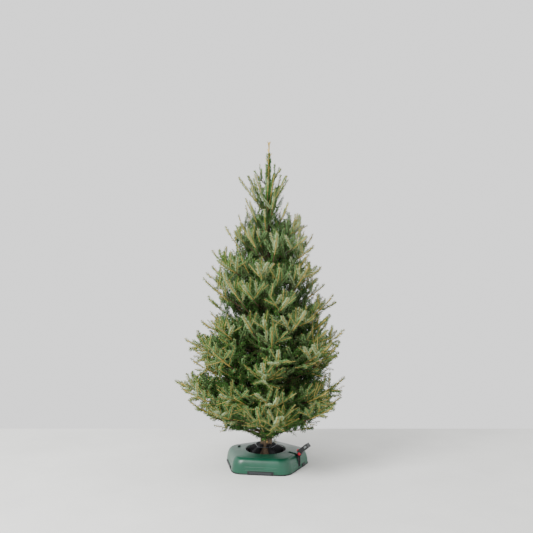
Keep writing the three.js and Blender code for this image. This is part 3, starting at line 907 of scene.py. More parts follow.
    def grow(self) -> None:
        """Grow every branch of every whorl, then what stands between, under and above them."""
        for index, whorl in enumerate(self.whorls):
            draw = Seeded(Seed.WHORL + index)
            for i in range(whorl.count):
                branch = self.new_branch(whorl, i, f"{index + 1:02d}{'abcde'[i]}", draw)
                branch.share = self.share_at(branch, float(self.trunk.radius(branch.root[2])) * self.bark_clear)
                if index < self.whorls_with_limbs:
                    branch.share = self.bare_share
                self.branches.append(branch)
                number = 10 * index + i
                self.side_branches(branch, Seeded(Seed.SPRAY + number), Seeded(Seed.FINE + number))
        self.grow_between()
        self.grow_skirt()
        self.grow_top()
        log.info("%d branches, %d twigs and shoots", len(self.branches), len(self.shoots.items))

    def grow_between(self) -> None:
        """Grow the smaller branches that stand on the trunk between two whorls, as firs have them.

        Each follows the crown's outline at the height of its tip, and they turn round the trunk by
        the golden angle, so that none stands above another.
        """
        draw = Seeded(Seed.BETWEEN)
        heights, shares = zip(*self.between_reach)
        turn = 0.0
        for index, (low, high) in enumerate(zip(self.whorls[:-1], self.whorls[1:])):
            count = round(self.between_count * (1.0 - self.single((low.z + high.z) / 2.0)))
            for k in range(count):
                turn += self.golden_angle
                share = (k + 0.7) / (count + 0.4)
                z = mix(low.z, high.z, share)
                rise = mix(low.rise, high.rise, share)
                rise *= self.between_rise + draw.spread(self.between_rise_spread)
                azimuth = turn + draw.spread(self.azimuth_spread)
                fullness = float(np.interp(z + rise, heights, shares)) + draw.spread(self.between_reach_spread)
                reach = self.crown_reach(z + rise, azimuth) * fullness
                bare = mix(*self.between_bare, float(smooth((z - self.crown_foot) / self.between_bare_fade)))
                seed = Seed.BETWEEN_BRANCH + 20 * index + k
                self.small_branch(f"between_{index + 1:02d}_{k + 1}", z, rise, reach, azimuth, bare, seed)

    def grow_skirt(self) -> None:
        """Grow small, nearly level branches round the foot of the crown, under its lowest whorl."""
        draw = Seeded(Seed.SKIRT)
        for k in range(self.skirt_count):
            azimuth = self.golden_angle * k + self.skirt_turn + draw.spread(self.azimuth_spread)
            z = self.skirt_foot + draw.spread(self.skirt_foot_spread)
            rise = self.skirt_rise + draw.spread(self.skirt_rise_spread)
            reach = self.crown_reach(z + rise, azimuth)
            reach *= self.skirt_reach + draw.spread(self.skirt_reach_spread)
            seed = Seed.SKIRT_BRANCH + k
            self.small_branch(f"skirt_{k + 1}", z, rise, reach, azimuth, self.skirt_bare, seed)

    def small_branch(
        self, name: str, z: float, rise: float, reach: float, azimuth: float, bare: float, seed: int
    ) -> None:
        """Grow one of the smaller branches, with its side branches.

        Args:
            name: its name.
            z: the height on the trunk that it starts from.
            rise: how far its tip stands above that.
            reach: how far its tip stands from the trunk's axis.
            azimuth: its direction in degrees.
            bare: share of its reach, from the trunk, that bears nothing.
            seed: the seed of its stream of numbers.
        """
        fine = Seeded(seed)
        bark = float(self.trunk.radius(z))
        start = bark * self.root_depth
        length = math.hypot(reach - start, rise)
        foot = max(self.small_least, length * self.small_thickness)
        branch = Branch(
            name, self.trunk.centre(z), start, reach, azimuth, fine.spread(self.sweep), rise,
            self.small_upturn, length, foot, self.small_taper,
        )
        branch.share = self.share_at(branch, bark + bare * reach)
        self.branches.append(branch)
        self.side_branches(branch, fine, fine)

    def grow_top(self) -> None:
        """Grow a ring of straight shoots that lean out under the leader, then the leader's own needles.

        Above its needles the leader carries short spurs, each with a bud, and a few more in a tuft at
        the very tip.
        """
        draw = Seeded(Seed.TOP)
        for i in range(self.candle_count):
            azimuth = 360.0 * (i + self.candle_turn) / self.candle_count + draw.spread(self.candle_turn_spread)
            rise = self.candle_rise + draw.spread(self.candle_rise_spread)
            reach = self.candle_reach + draw.spread(self.candle_reach_spread)
            out = radial(math.radians(azimuth), reach, rise)
            foot = self.trunk.centre(self.candle_z + draw.spread(self.candle_z_spread))
            length = float(np.linalg.norm(out))
            self.shoots.add(foot, unit(out), UP, length, Order.CANDLE, self.candle_bare, self.candle_girth)
        steps = np.linspace(self.leader_foot, self.leader_top, self.leader_steps + 1)
        for low, high in zip(steps[:-1], steps[1:]):
            foot, top = self.trunk.centre(low), self.trunk.centre(high)
            bark = float(self.trunk.radius(low))
            self.shoots.add(foot, unit(top - foot), radial(low), float(high - low), Order.RUN, 0.0, bark)
        way = unit(np.array(self.twiglet_way))
        self.shoots.add(self.trunk.centre(self.twiglet_z), way, UP, self.twiglet_length, Order.SHOOT, 0.2)
        on_leader = self.spur_count - self.tuft_count
        for k in range(self.spur_count):
            turn = math.radians(self.golden_angle * k + self.spur_turn)
            if k < on_leader:
                z, rise, length = mix(*self.spur_heights, k / (on_leader - 1)), self.spur_rise, self.spur_length
            else:
                z, rise, length = self.trunk.tip_z - self.tuft_drop, self.tuft_rise, self.tuft_length
            self.shoots.add(self.trunk.centre(z), unit(radial(turn, 1.0, rise)), UP, length, Order.SPUR, 1.0)

    def limb_needles(self, branch: Branch, steps: int = 4) -> None:
        """Let the outer part of a limb bear needles of its own, as straight runs along it."""
        shares = np.linspace(mix(branch.share, 1.0, 0.25), 0.88, steps + 1)
        for low, high in zip(shares[:-1], shares[1:]):
            foot, top = branch.centre(low), branch.centre(high)
            bark = float(branch.radius(low)) * 0.8
            length = float(np.linalg.norm(top - foot))
            self.shoots.add(foot, unit(top - foot), UP, length, Order.RUN, 0.0, bark)

    def new_branch(self, whorl: Whorl, i: int, name: str, draw: Seeded) -> Branch:
        """Draw one branch of a whorl.

        Args:
            whorl: the whorl.
            i: the branch's number in it.
            name: the branch's name.
            draw: the whorl's stream of numbers.

        Returns:
            The branch.
        """
        azimuth = whorl.turn + 360.0 * i / whorl.count + draw.spread(self.turn_spread)
        rise = whorl.rise * (1.0 + draw.spread(self.reach_spread))
        reach = self.crown_reach(whorl.z + rise, azimuth) * (1.0 + draw.spread(self.reach_spread))
        sweep = draw.spread(self.sweep)
        z = whorl.z + draw.spread(self.root_spread)
        start = float(self.trunk.radius(z)) * self.root_depth
        length = math.hypot(reach - start, rise)
        foot = max(2.6, length * self.thickness * 0.85)
        root = self.trunk.centre(z)
        return Branch(name, root, start, reach, azimuth, sweep, rise, whorl.upturn, length, foot, self.taper)

    def share_at(self, branch: Branch, distance: float) -> float:
        """Return the share of a branch at which it is a given distance from the trunk's axis."""
        t = np.arange(0.0, 1.0, 0.002)
        points = branch.centre(t)
        away = np.linalg.norm((points - self.trunk.centre(points[:, 2]))[:, :2], axis=1)
        return float(t[np.argmax(away >= distance)])

    def side_branches(self, branch: Branch, draw: Seeded, fine: Seeded) -> None:
        """Grow the side branches of one branch: the solids' sprays, and shorter ones between them.

        Args:
            branch: the branch.
            draw: the stream that the solids use.
            fine: a stream for what the solids leave out.
        """
        years = max(2, math.floor(branch.length * (1.0 - branch.share) / self.increment + 0.5))
        first = branch.share + self.node_margin
        for year in range(years):
            t = mix(first, self.last_node, year / years)
            node, along, side, up = self.axes(branch, t)
            left = (1.0 - t) * branch.length
            for hand in (-1.0, 1.0):
                angle = math.radians(self.angle + draw.spread(self.angle_spread))
                lift = math.radians(self.lift + draw.spread(self.lift))
                length = max(self.shortest, left * self.shrink * (1.0 + draw.spread(0.1)))
                length = min(self.longest, length)
                self.side_branch(node, (along, side * hand, up), angle, lift, length, fine)
            if year < years - 1:
                roll = math.radians(draw.spread(self.roll))
                stand = math.radians(self.riser_angle + draw.spread(self.angle_spread))
                riser = along * math.cos(stand) + up * math.sin(stand)
                face = side * math.cos(roll) + along * math.sin(roll)
                face = unit(np.cross(riser, np.cross(face, riser)))
                tall = max(self.shortest, min(self.longest, left * self.shrink) * self.riser_share)
                self.twig_with_shoots(node, riser, face, tall, fine)
            if self.single(node[2]) <= 0.5:
                self.half_year(branch, mix(first, self.last_node, (year + 0.5) / years), fine)
        self.limb_needles(branch)
        end = branch.centre(self.end_share)
        out = branch.centre(1.0) - end
        self.twig_with_shoots(end, unit(out), UP, float(np.linalg.norm(out)), fine)

    def half_year(self, branch: Branch, t: float, fine: Seeded) -> None:
        """Grow what stands between two years' nodes of a branch.

        Args:
            branch: the branch.
            t: the share of it at which they stand.
            fine: the stream of numbers.
        """
        node, along, side, up = self.axes(branch, t)
        left = (1.0 - t) * branch.length
        hand = 1.0 if fine.next() > 0.5 else -1.0
        angle = math.radians(self.angle + fine.spread(self.half_angle_spread))
        lift = math.radians(self.half_lift + fine.spread(self.half_lift_spread))
        least, most = self.half_length
        length = max(least, min(most, left * self.half_shrink) * (1.0 + fine.spread(self.half_spread)))
        self.side_branch(node, (along, side * hand, up), angle, lift, length, fine)
        above = math.radians(self.half_riser_angle + fine.spread(self.half_riser_spread))
        riser = self.upturned(node, along * math.cos(above) + up * math.sin(above))
        least, most = self.half_riser_length
        tall = max(least, min(most, left * self.half_riser_shrink) * (1.0 + fine.spread(self.half_spread)))
        self.twig_with_shoots(node, riser, side, tall, fine)
        if self.hang_foot < node[2] < self.hang_top:
            self.hanging(node, along, side, fine)

    def hanging(self, node: np.ndarray, along: np.ndarray, side: np.ndarray, fine: Seeded) -> None:
        """Grow a pair of shoots that hang under a low limb and fill the crown's skirt."""
        for hand in (-1.0, 1.0):
            drop = math.radians(self.hang_drop + fine.spread(self.hang_drop_spread))
            aside = side * (hand * (self.hang_aside + fine.spread(self.hang_aside_spread)))
            way = (along + aside) * math.cos(drop) - UP * math.sin(drop)
            room = max(self.hang_least, (node[2] - self.skirt_z) / math.sin(drop))
            length = min(room, self.hang_length + fine.spread(self.hang_spread))
            length *= self.inside(node, unit(way), length)
            self.twig_with_shoots(node, unit(way), UP, length, fine)

    def inside(self, node: np.ndarray, way: np.ndarray, length: float) -> float:
        """Return the share of a shoot's length at which its tip keeps to the crown's outline."""
        ends = np.stack([node, node + way * length])
        flat = (ends - self.trunk.centre(ends[:, 2]))[:, :2]
        away = np.hypot(flat[:, 0], flat[:, 1])
        azimuth = math.degrees(math.atan2(flat[1, 1], flat[1, 0]))
        limit = self.crown_reach(float(ends[1, 2]), azimuth)
        if away[1] <= limit or away[1] <= away[0]:
            return 1.0
        return max(0.4, min(1.0, (limit - away[0]) / (away[1] - away[0])))

    def axes(self, branch: Branch, t: float) -> tuple[np.ndarray, np.ndarray, np.ndarray, np.ndarray]:
        """Return a branch's point at the share t, and its directions along, aside and up there."""
        along = unit(branch.centre(t + 0.01) - branch.centre(t - 0.01))
        side = unit(np.cross(UP, along))
        return branch.centre(t), along, side, np.cross(along, side)

    def side_branch(
        self,
        node: np.ndarray,
        axes: tuple[np.ndarray, np.ndarray, np.ndarray],
        angle: float,
        lift: float,
        length: float,
        fine: Seeded,
    ) -> None:
        """Grow one side branch at an angle from its branch, lifted out of the branch's plane.

        Args:
            node: where it starts.
            axes: its branch's directions along, to the side that it grows on, and up.
            angle: its angle to the branch in radians.
            lift: its angle to the branch's plane in radians.
            length: its length.
            fine: the stream of numbers.
        """
        along, side, up = axes
        direction = along * math.cos(angle) + side * (math.sin(angle) * math.cos(lift)) + up * math.sin(lift)
        self.twig_with_shoots(node, self.upturned(node, unit(direction)), up, length, fine)

    def twig_with_shoots(
        self, node: np.ndarray, along: np.ndarray, up: np.ndarray, length: float, fine: Seeded
    ) -> None:
        """Grow a side branch and the pairs of shoots on it.

        Args:
            node: where it starts.
            along: its direction.
            up: the side that faces up.
            length: its length.
            fine: the stream of numbers.
        """
        twigs = self.shoots
        twigs.add(node, along, up, length, Order.SIDE, 0.1)
        index = len(twigs.items) - 1
        up = unit(up - along * float(up @ along))
        side = np.cross(up, along)
        high = self.single(node[2])
        pairs = int(length * (1.0 - high) / self.shoot_step)
        least, most = self.shoot_length
        for k in range(pairs):
            s = mix(*self.shoot_places, (k + 0.5) / pairs)
            for hand in (-1.0, 1.0):
                angle = math.radians(mix(*self.shoot_angles, high) + fine.spread(self.shoot_angle_spread))
                lift = math.radians(self.shoot_lift + fine.spread(self.shoot_lift_spread))
                reach = (1.0 - s) * length * self.shoot_shrink * (1.0 + fine.spread(self.shoot_spread))
                reach = min(most, max(least, reach))
                way = along * math.cos(angle) + side * (hand * math.sin(angle) * math.cos(lift))
                way = unit(way + up * math.sin(lift))
                twigs.add(twigs.point(index, s), self.upturned(node, way), up, reach, Order.SHOOT, 0.04)


# ---------------------------------------------------------------- the tree's surfaces


@dataclass
class TrunkSkin:
    """The trunk as a surface with its bark's relief, its pruned stubs and the flat sawn butt."""

    skeleton: Skeleton
    sides: int = 56
    rings: int = 300
    ring_bias: float = 1.35
    relief: float = 0.9
    full_relief_radius: float = 18.0
    knot_height: float = 2.2
    knot_width: float = 14.0
    young_above: float = 40.0
    stub_sides: int = 20
    # Height, azimuth in degrees, radius and length of each pruned stub.
    stubs: tuple[tuple[float, float, float, float], ...] = (
        (121.0, -84.0, 4.5, 5.0),
        (128.0, -150.0, 4.0, 6.0),
        (124.0, 46.0, 4.0, 5.0),
    )

    def build(self) -> None:
        """Build the trunk and its stubs.

        A vertex is the centre line's point plus (radius + relief) times the direction round it. The
        relief is long ripples along the stem plus short ones across it, and a swelling at each whorl
        that falls off as exp(-d^2) with the distance from it.
        """
        line = self.skeleton.trunk
        z = mix(line.cut_z, line.tip_z, np.linspace(0.0, 1.0, self.rings) ** self.ring_bias)
        turn = turns(self.sides)
        ring = np.stack([np.cos(turn), np.sin(turn), np.zeros(self.sides)], axis=-1)
        radius = line.radius(z)[:, None]
        skin = line.centre(z)[:, None, :] + radius[..., None] * ring[None]
        scale = np.minimum(1.0, radius / self.full_relief_radius)
        swell = 0.5 * ripple(skin * np.array([1.0, 1.0, 0.35]), 22.0, Seed.TRUNK_SWELL)
        swell = swell + 0.35 * ripple(skin * np.array([1.0, 1.0, 2.4]), 9.0, Seed.TRUNK_GRAIN)
        for whorl in self.skeleton.whorls:
            swell = swell + self.knot_height * np.exp(-(((z - whorl.z) / self.knot_width) ** 2))[:, None]
        verts = skin + (scale * self.relief * swell)[..., None] * ring[None]
        verts[0, :, 2] = line.cut_z
        verts[-1, :, 2] = line.tip_z
        walls = grid_faces(self.rings, self.sides, wrap_columns=True)
        foot = np.arange(self.sides)[None, ::-1]
        tip = np.arange(self.sides)[None, :] + (self.rings - 1) * self.sides
        mesh = fill_mesh("trunk_bark", verts, [walls, foot, tip])
        young = z[walls[:, 0] // self.sides] > line.leader_z + self.young_above
        finishes = [STEM_BARK.make(), SAWN.make(), YOUNG_TWIG.make()]
        finish = np.concatenate([np.where(young, 2, 0), [1, 2]])
        add_piece(mesh, finishes, replaced=["trunk"], face_finish=finish)
        self.build_stubs()

    def build_stubs(self) -> None:
        """Build the pruned side branches: short bark pegs, each with a pale sawn face."""
        line = self.skeleton.trunk
        verts, walls, ends = [], [], []
        for number, (z, azimuth, radius, length) in enumerate(self.stubs):
            reach = float(line.radius(z))
            steps = np.array([0.5 * reach, reach, reach + length * 0.8, reach + length])
            path = line.centre(z) + steps[:, None] * radial(math.radians(azimuth))
            girth = radius * np.array([1.3, 1.22, 1.05, 0.95])
            v, f = tubes(path[None], girth[None], self.stub_sides, UP[None])
            verts.append(v)
            walls.append(f[0] + number * len(v))
            ends += [f[1] + number * len(v), f[2] + number * len(v)]
        mesh = fill_mesh("pruned_stubs", np.concatenate(verts), walls + ends)
        finish = np.concatenate([np.zeros(sum(len(w) for w in walls)), np.ones(len(ends))])
        add_piece(mesh, [LIMB_BARK.make(), SAWN.make()], face_finish=finish)


@dataclass
class LimbSkin:
    """The boughs and the stems of the masses, as round limbs with the bark's relief."""

    skeleton: Skeleton
    sides: int = 10
    points: int = 20
    young_from: float = 0.66
    bite: float = 0.86
    collar: float = 0.5
    collar_length: float = 0.04
    thinnest: float = 1.3

    def build(self) -> None:
        """Build every branch's limb from inside the trunk to its tip, its last years in young bark.

        At the share t the limb's radius is its branch's, times 1 + collar exp(-t / collar length).
        """
        t = np.linspace(0.02, 0.97, self.points)
        swell = (1.0 + self.collar * np.exp(-t / self.collar_length))
        branches = self.skeleton.branches
        paths = np.array([branch.centre(t) for branch in branches])
        radii = np.array([np.maximum(branch.radius(t) * swell * self.bite, self.thinnest) for branch in branches])
        bumps = 1.0 + 0.05 * ripple(paths, 26.0, Seed.LIMB_BUMPS)
        verts, faces = tubes(paths, radii * bumps, self.sides, np.tile(UP, (len(paths), 1)))
        boughs = [f"bough_{b.name}" for b in branches if f"bough_{b.name}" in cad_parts]
        step = np.arange(len(faces[0])) // self.sides % (self.points - 1)
        young = step >= self.young_from * (self.points - 1)
        finish = np.concatenate([young, np.zeros(len(paths)), np.ones(len(paths))])
        finishes = [LIMB_BARK.make(), YOUNG_TWIG.make()]
        mesh = fill_mesh("bough_bark", verts, faces)
        add_piece(mesh, finishes, replaced=boughs, face_finish=finish)


@dataclass
class Foliage:
    """Twigs, needles and buds on every shoot of the skeleton.

    Lengths are in millimetres and angles in degrees. Depth is 0 on the trunk and 1 on the outline.
    """

    skeleton: Skeleton
    twig_sides: int = 3
    most: int = 48000
    lit_depth: float = 0.74
    tip_depth: float = 0.92
    middle_share: float = 0.6
    # Under the crown's foot its height counts for this share, since that part is shaded; the darker colours dealt
    # out there are painted shade.
    shaded_slope: float = 0.3
    least_reach: float = 40.0
    # Distance between needles along a stem, by the kind of shoot and its place.
    spacing: float = 1.35
    heart_spacing: float = 3.0
    heart_depth: float = 0.45
    heart_fade: float = 0.3
    skirt_top: float = 170.0
    skirt_fade: float = 120.0
    candle_spacing: float = 1.0
    run_spacing: float = 1.6
    run_crowding: float = 0.7
    tip_crowding: float = 0.65
    leader_spacing: float = 0.22
    leader_upright: float = 0.97
    fewest: int = 6
    scatter: float = 0.6
    # A needle's size.
    needle_length: float = 14.0
    needle_width: float = 3.5
    keel: float = 0.35
    widest_share: float = 0.36
    leader_needle: float = 21.0
    leader_short_z: float = 1460.0
    leader_short_fade: float = 110.0
    # How a spray is tilted, and how its needles stand about the stem.
    outward: float = 0.45
    most_roll: float = 42.0
    all_round: float = 0.42
    tip_all_round: float = 0.85
    steep_from: float = 0.75
    flat_rise: float = 26.0
    flat_spread: float = 27.0
    flat_limits: tuple[float, float] = (-25.0, 76.0)
    round_limits: tuple[float, float] = (-80.0, 90.0)
    lean_spreading: float = 66.0
    lean_steep: float = 56.0
    lean_single: float = 40.0
    lean_leader: float = 50.0
    lean_tip: float = 36.0
    lean_spread: float = 4.0
    single_fade: float = 160.0
    # What makes a spray's colour light: its depth, its height and chance. Deep and low sprays get darker colours,
    # partly older growth, partly painted shade.
    light_depth: float = 1.15
    light_height: float = 0.18
    light_chance: float = 0.34
    light_least: float = 0.42
    half_height: float = 800.0
    bud_radius: float = 2.2

    def build(self) -> None:
        """Build the twigs, then the needles by kind of spray, then the buds."""
        rows = self.skeleton.shoots.rows()
        self.build_twigs(rows)
        self.build_needles(rows)
        self.build_buds(rows)

    def build_twigs(self, rows: ShootRows) -> None:
        """Build the twigs: tan where they stand in the light, dark brown in the shade of the crown, partly the real
        bark of older twigs, partly painted shade.
        """
        shares = np.linspace(0.0, 1.0, 3)
        points = np.stack([rows.at(np.full(len(rows.root), s)) for s in shares], axis=1)
        lit = self.depth(points[:, 1]) > self.lit_depth
        order = rows.order
        twig = (order == Order.SIDE) | (order == Order.SHOOT)
        for name, mask, foot, tip, finish in (
            ("shaded_twigs", ~lit & twig, 1.6, 1.0, SHADED_OLD_TWIG),
            ("side_twigs", lit & (order == Order.SIDE), 1.8, 1.2, YOUNG_TWIG),
            ("young_twigs", lit & (order == Order.SHOOT), 1.4, 1.1, YOUNG_TWIG),
            ("upright_shoots", order == Order.CANDLE, 2.8, 2.0, YOUNG_TWIG),
            ("leader_spurs", order == Order.SPUR, 2.8, 2.4, YOUNG_TWIG),
        ):
            radii = mix(foot, tip, shares)[None] * np.ones((int(mask.sum()), 1))
            verts, faces = tubes(points[mask], radii, self.twig_sides, rows.up[mask])
            add_piece(fill_mesh(name, verts, faces), [finish.make()], smooth_angle=80.0)

    def depth(self, middle: np.ndarray) -> np.ndarray:
        """Return how far out each place lies: 0 on the trunk, 1 on the crown's outline.

        Under its widest height the crown counts as being nearly as wide as there, since that part is shaded; the
        darker needle and twig colours dealt out there by depth are painted shade.
        """
        skeleton, z = self.skeleton, middle[:, 2]
        flat = (middle - skeleton.trunk.centre(z))[:, :2]
        azimuth = np.degrees(np.arctan2(flat[:, 1], flat[:, 0]))
        height = np.maximum(z, mix(skeleton.crown_foot, z, self.shaded_slope))
        reach = skeleton.crown_reach(height, azimuth)
        return np.linalg.norm(flat, axis=1) / np.maximum(reach, self.least_reach)

    def kinds(self, middle: np.ndarray) -> np.ndarray:
        """Deal out the kinds of spray: the nearer to the crown's outline and the higher, the lighter; the darker
        kinds deep and low are partly older growth, partly painted shade.
        """
        rng = np.random.default_rng(Seed.KINDS)
        high = (middle[:, 2] - self.half_height) / self.half_height
        lightness = self.light_depth * self.depth(middle) + self.light_height * high
        lightness = lightness + self.light_chance * rng.random(len(middle)) - self.light_least
        return np.clip(np.floor(len(Spray) * lightness), 0, len(Spray) - 1).astype(int)

    def spacings(self, rows: ShootRows, middle: np.ndarray, ends: np.ndarray, leader: np.ndarray) -> np.ndarray:
        """Return the distance between needles on each shoot.

        It falls from the heart's to the shell's with depth, and is the shell's low in the skirt. It is
        less on limbs, less again on those that end at the outline, and least on the leader.

        Args:
            rows: the shoots.
            middle: the middle of each.
            ends: whether each ends at the crown's outline.
            leader: whether each is a run of the leader.

        Returns:
            The distances.
        """
        lit = smooth((self.depth(middle) - self.heart_depth) / self.heart_fade)
        low = 1.0 - smooth((middle[:, 2] - self.skirt_top) / self.skirt_fade)
        spacing = mix(mix(self.heart_spacing, self.spacing, lit), self.spacing, low)
        spacing = np.where(rows.order == Order.CANDLE, self.candle_spacing, spacing)
        run = np.minimum(spacing, self.run_spacing) * self.run_crowding
        spacing = np.where(rows.order == Order.RUN, run, spacing)
        spacing = spacing * np.where(ends, self.tip_crowding, 1.0)
        return np.where(leader, self.leader_spacing, spacing)

    def build_needles(self, rows: ShootRows) -> None:
        """Build every needle as a closed blade of four faces.

        Each spray's upper side is tilted outward from the trunk and rolled about its stem, so that
        some show their flat side and some their edge. Needle k of a shoot stands at an even share of
        its length. On a spreading shoot its turn is drawn to either side and a little above, so that
        the spray parts along the stem. Some needles stand all round it, the more the steeper it is,
        and nearly all do where it ends at the crown's outline. A needle leans away from its stem by 66
        degrees on a spreading shoot, 56 on a steep one, 40 on the slender ones at the top, 50 on the
        leader, and 36 at every tip but the leader's. Its four corners are the root, the point, and the
        two edges at a third of its length, let down by the keel.
        """
        rng = np.random.default_rng(Seed.NEEDLES)
        middle = rows.at(np.full(len(rows.root), self.middle_share))
        kind = self.kinds(middle)
        leader = (rows.order == Order.RUN) & (rows.along[:, 2] > self.leader_upright)
        ends = (rows.order < Order.SHOOT) & (self.depth(middle) > self.tip_depth)
        leafy = rows.length * (1.0 - rows.bare)
        counts = np.maximum(self.fewest, np.round(leafy / self.spacings(rows, middle, ends, leader)))
        counts = np.where(rows.order == Order.SPUR, 0, counts).astype(int)
        roll = np.radians(rng.uniform(-self.most_roll, self.most_roll, len(rows.root)))
        outward = middle - self.skeleton.trunk.centre(middle[:, 2])
        facing = rows.up + unit(outward * np.array([1.0, 1.0, 0.0])) * self.outward
        of = np.repeat(np.arange(len(counts)), counts)
        total = len(of)
        k = np.arange(total) - (np.cumsum(counts) - counts)[of]
        shoot, leader, ends, facing, roll = rows.take(of), leader[of], ends[of], facing[of], roll[of][:, None]
        s = shoot.bare + (1.0 - shoot.bare) * (k + rng.random(total) * self.scatter) / counts[of]
        foot = shoot.at(s)
        axis = unit(shoot.along + shoot.up * (2.0 * shoot.curl * s)[:, None])
        level = unit(facing - axis * np.sum(facing * axis, axis=1, keepdims=True))
        over = level * np.cos(roll) + np.cross(level, axis) * np.sin(roll)
        side = np.cross(over, axis)
        hand = np.where(k % 2 == 0, 1.0, -1.0)
        steep = smooth((shoot.along[:, 2] - self.steep_from) / (1.0 - self.steep_from))
        steep = np.maximum(steep, np.where(ends, self.tip_all_round, self.all_round))
        flat = np.clip(rng.normal(self.flat_rise, self.flat_spread, total), *self.flat_limits)
        is_round = rng.random(total) < steep
        rise = np.radians(np.where(is_round, rng.uniform(*self.round_limits, total), flat))
        single = smooth((foot[:, 2] - self.skeleton.single_foot) / self.single_fade)
        forward = mix(mix(self.lean_spreading, self.lean_steep, steep), self.lean_single, single)
        forward = np.where(leader, self.lean_leader, forward)
        tip = smooth((s - 0.88) / 0.12) * ~leader
        lean = np.radians(mix(forward, self.lean_tip, tip) + rng.normal(0.0, self.lean_spread, total))
        out = side * (hand * np.cos(rise))[:, None] + over * np.sin(rise)[:, None]
        foot = foot + out * (shoot.girth * 0.8)[:, None]
        needle = axis * np.cos(lean)[:, None] + out * np.sin(lean)[:, None]
        size = self.needle_length * mix(0.66, 1.0, smooth(s / 0.15)) * mix(1.0, 0.8, smooth((s - 0.86) / 0.14))
        topmost = smooth((foot[:, 2] - self.leader_short_z) / self.leader_short_fade)
        size = np.where(leader, self.leader_needle * mix(1.0, 0.7, topmost), size)
        size = size * rng.uniform(0.9, 1.08, total) * mix(1.0, 0.95, single)
        across = unit(np.cross(unit(over - axis * 0.5), needle))
        above = np.cross(needle, across)
        half = across * (self.needle_width / 2.0)
        edge = foot + needle * (size * self.widest_share)[:, None] - above * self.keel
        verts = np.stack([foot, edge + half, foot + needle * size[:, None], edge - half], axis=1)
        # On the leader the needles on one side take the darker inner colours and those on the other side the lighter
        # outer ones: painted shade on one side of each run.
        self.add_needles(verts, np.where(leader, Spray.INNER.value + k % 2, kind[of]))
        log.info("%d needles", total)

    def add_needles(self, verts: np.ndarray, kind: np.ndarray) -> None:
        """Fill the pieces of needles, each of one kind of spray, two faces of the top and two under.

        Args:
            verts: the four corners of each needle.
            kind: the kind of spray that each is on.
        """
        faces = np.array([[0, 2, 1], [0, 3, 2], [0, 1, 3], [2, 3, 1]])
        tops = np.array([0, 0, 1, 1])
        nodes = sorted(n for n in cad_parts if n.startswith("foliage_"))
        for spray in Spray:
            chosen = np.flatnonzero(kind == spray.value)
            finishes = [finish.make() for finish in NEEDLES[spray]]
            parts = np.array_split(chosen, max(1, math.ceil(len(chosen) / self.most)))
            for number, part in enumerate(parts, start=1):
                index = (np.arange(len(part)) * 4)[:, None, None] + faces[None]
                mesh = fill_mesh(f"needles_{spray.name.lower()}_{number}", verts[part], [index.reshape(-1, 3)])
                finish = np.tile(tops, len(part))
                add_piece(mesh, finishes, replaced=nodes, face_finish=finish, smooth_angle=None)
                nodes = []

    def build_buds(self, rows: ShootRows) -> None:
        """Build a bud on the tip of every lit shoot: a spindle of eight faces, 8 mm long."""
        tips = rows.root + rows.along * rows.length[:, None]
        lit = (rows.order > Order.RUN) & (self.depth(tips) > self.lit_depth) | (rows.order > Order.SHOOT)
        rows = rows.take(lit)
        tip, along = rows.at(np.ones(len(rows.root))), rows.along
        side = np.cross(rows.up, along)
        ring = np.stack([side, rows.up, -side, -rows.up], axis=1) * self.bud_radius
        verts = np.concatenate(
            [(tip - along * 1.5)[:, None], tip[:, None] + along[:, None] * 2.0 + ring, (tip + along * 6.5)[:, None]],
            axis=1,
        )
        foot = [[0, 2, 1], [0, 3, 2], [0, 4, 3], [0, 1, 4]]
        faces = np.array(foot + [[5, 1, 2], [5, 2, 3], [5, 3, 4], [5, 4, 1]])
        index = (np.arange(len(tip)) * 6)[:, None, None] + faces[None]
        add_piece(fill_mesh("buds", verts, [index.reshape(-1, 3)]), [BUD.make()], smooth_angle=80.0)


# ---------------------------------------------------------------- the stand's tools


Shape = tuple[np.ndarray, np.ndarray]


def resample(points: list[tuple[float, ...]], step: float, soften: float, closed: bool = False) -> np.ndarray:
    """Walk a polyline in even steps and round its corners.

    The corners are rounded by a running mean whose width is soften; the ends stay where they are.

    Args:
        points: the polyline's corners.
        step: distance between the new points.
        soften: width of the running mean, as a length.
        closed: whether the last point joins the first.

    Returns:
        The new points, one row each.
    """
    line = np.array(points + ([points[0]] if closed else []), dtype=float)
    walk = np.concatenate([[0.0], np.cumsum(np.linalg.norm(np.diff(line, axis=0), axis=1))])
    even = np.linspace(0.0, walk[-1], max(4, int(walk[-1] / step)))
    dense = np.stack([np.interp(even, walk, line[:, k]) for k in range(line.shape[1])], axis=1)
    width = max(1, int(soften / step))
    if closed:
        dense = dense[:-1]
        return sum(np.roll(dense, k, axis=0) for k in range(-width, width + 1)) / (2 * width + 1)
    index = np.arange(len(dense))
    fade = np.minimum(index, index[::-1])
    softened = dense.copy()
    for k in range(1, width + 1):
        reach = np.minimum(k, fade)
        softened += dense[index - reach] + dense[index + reach]
    return softened / (2 * width + 1)


def block(
    radius: float, z: float, azimuth: float, size: tuple[float, float, float], shift: float = 0.0
) -> Shape:
    """Make a box that stands in a radial plane.

    Args:
        radius: distance of its middle from the axis.
        z: height of its middle.
        azimuth: direction in degrees.
        size: depth along the radius, width across it, height.
        shift: distance of its middle from the radial plane.

    Returns:
        Its eight corners and six quads.
    """
    signs = np.array([(a, b, c) for c in (-1, 1) for b in (-1, 1) for a in (-1, 1)], dtype=float)
    local = signs * np.array(size) / 2.0 + np.array([radius, shift, 0.0])
    faces = np.array([[0, 2, 3, 1], [4, 5, 7, 6], [0, 1, 5, 4], [2, 6, 7, 3], [0, 4, 6, 2], [1, 3, 7, 5]])
    return swung(local + np.array([0.0, 0.0, z]), azimuth), faces


def swung(points: np.ndarray, azimuth: float) -> np.ndarray:
    """Turn points about the upright axis by an azimuth in degrees."""
    cos, sin = math.cos(math.radians(azimuth)), math.sin(math.radians(azimuth))
    x, y, z = points.T
    return np.stack([x * cos - y * sin, x * sin + y * cos, z], axis=-1)


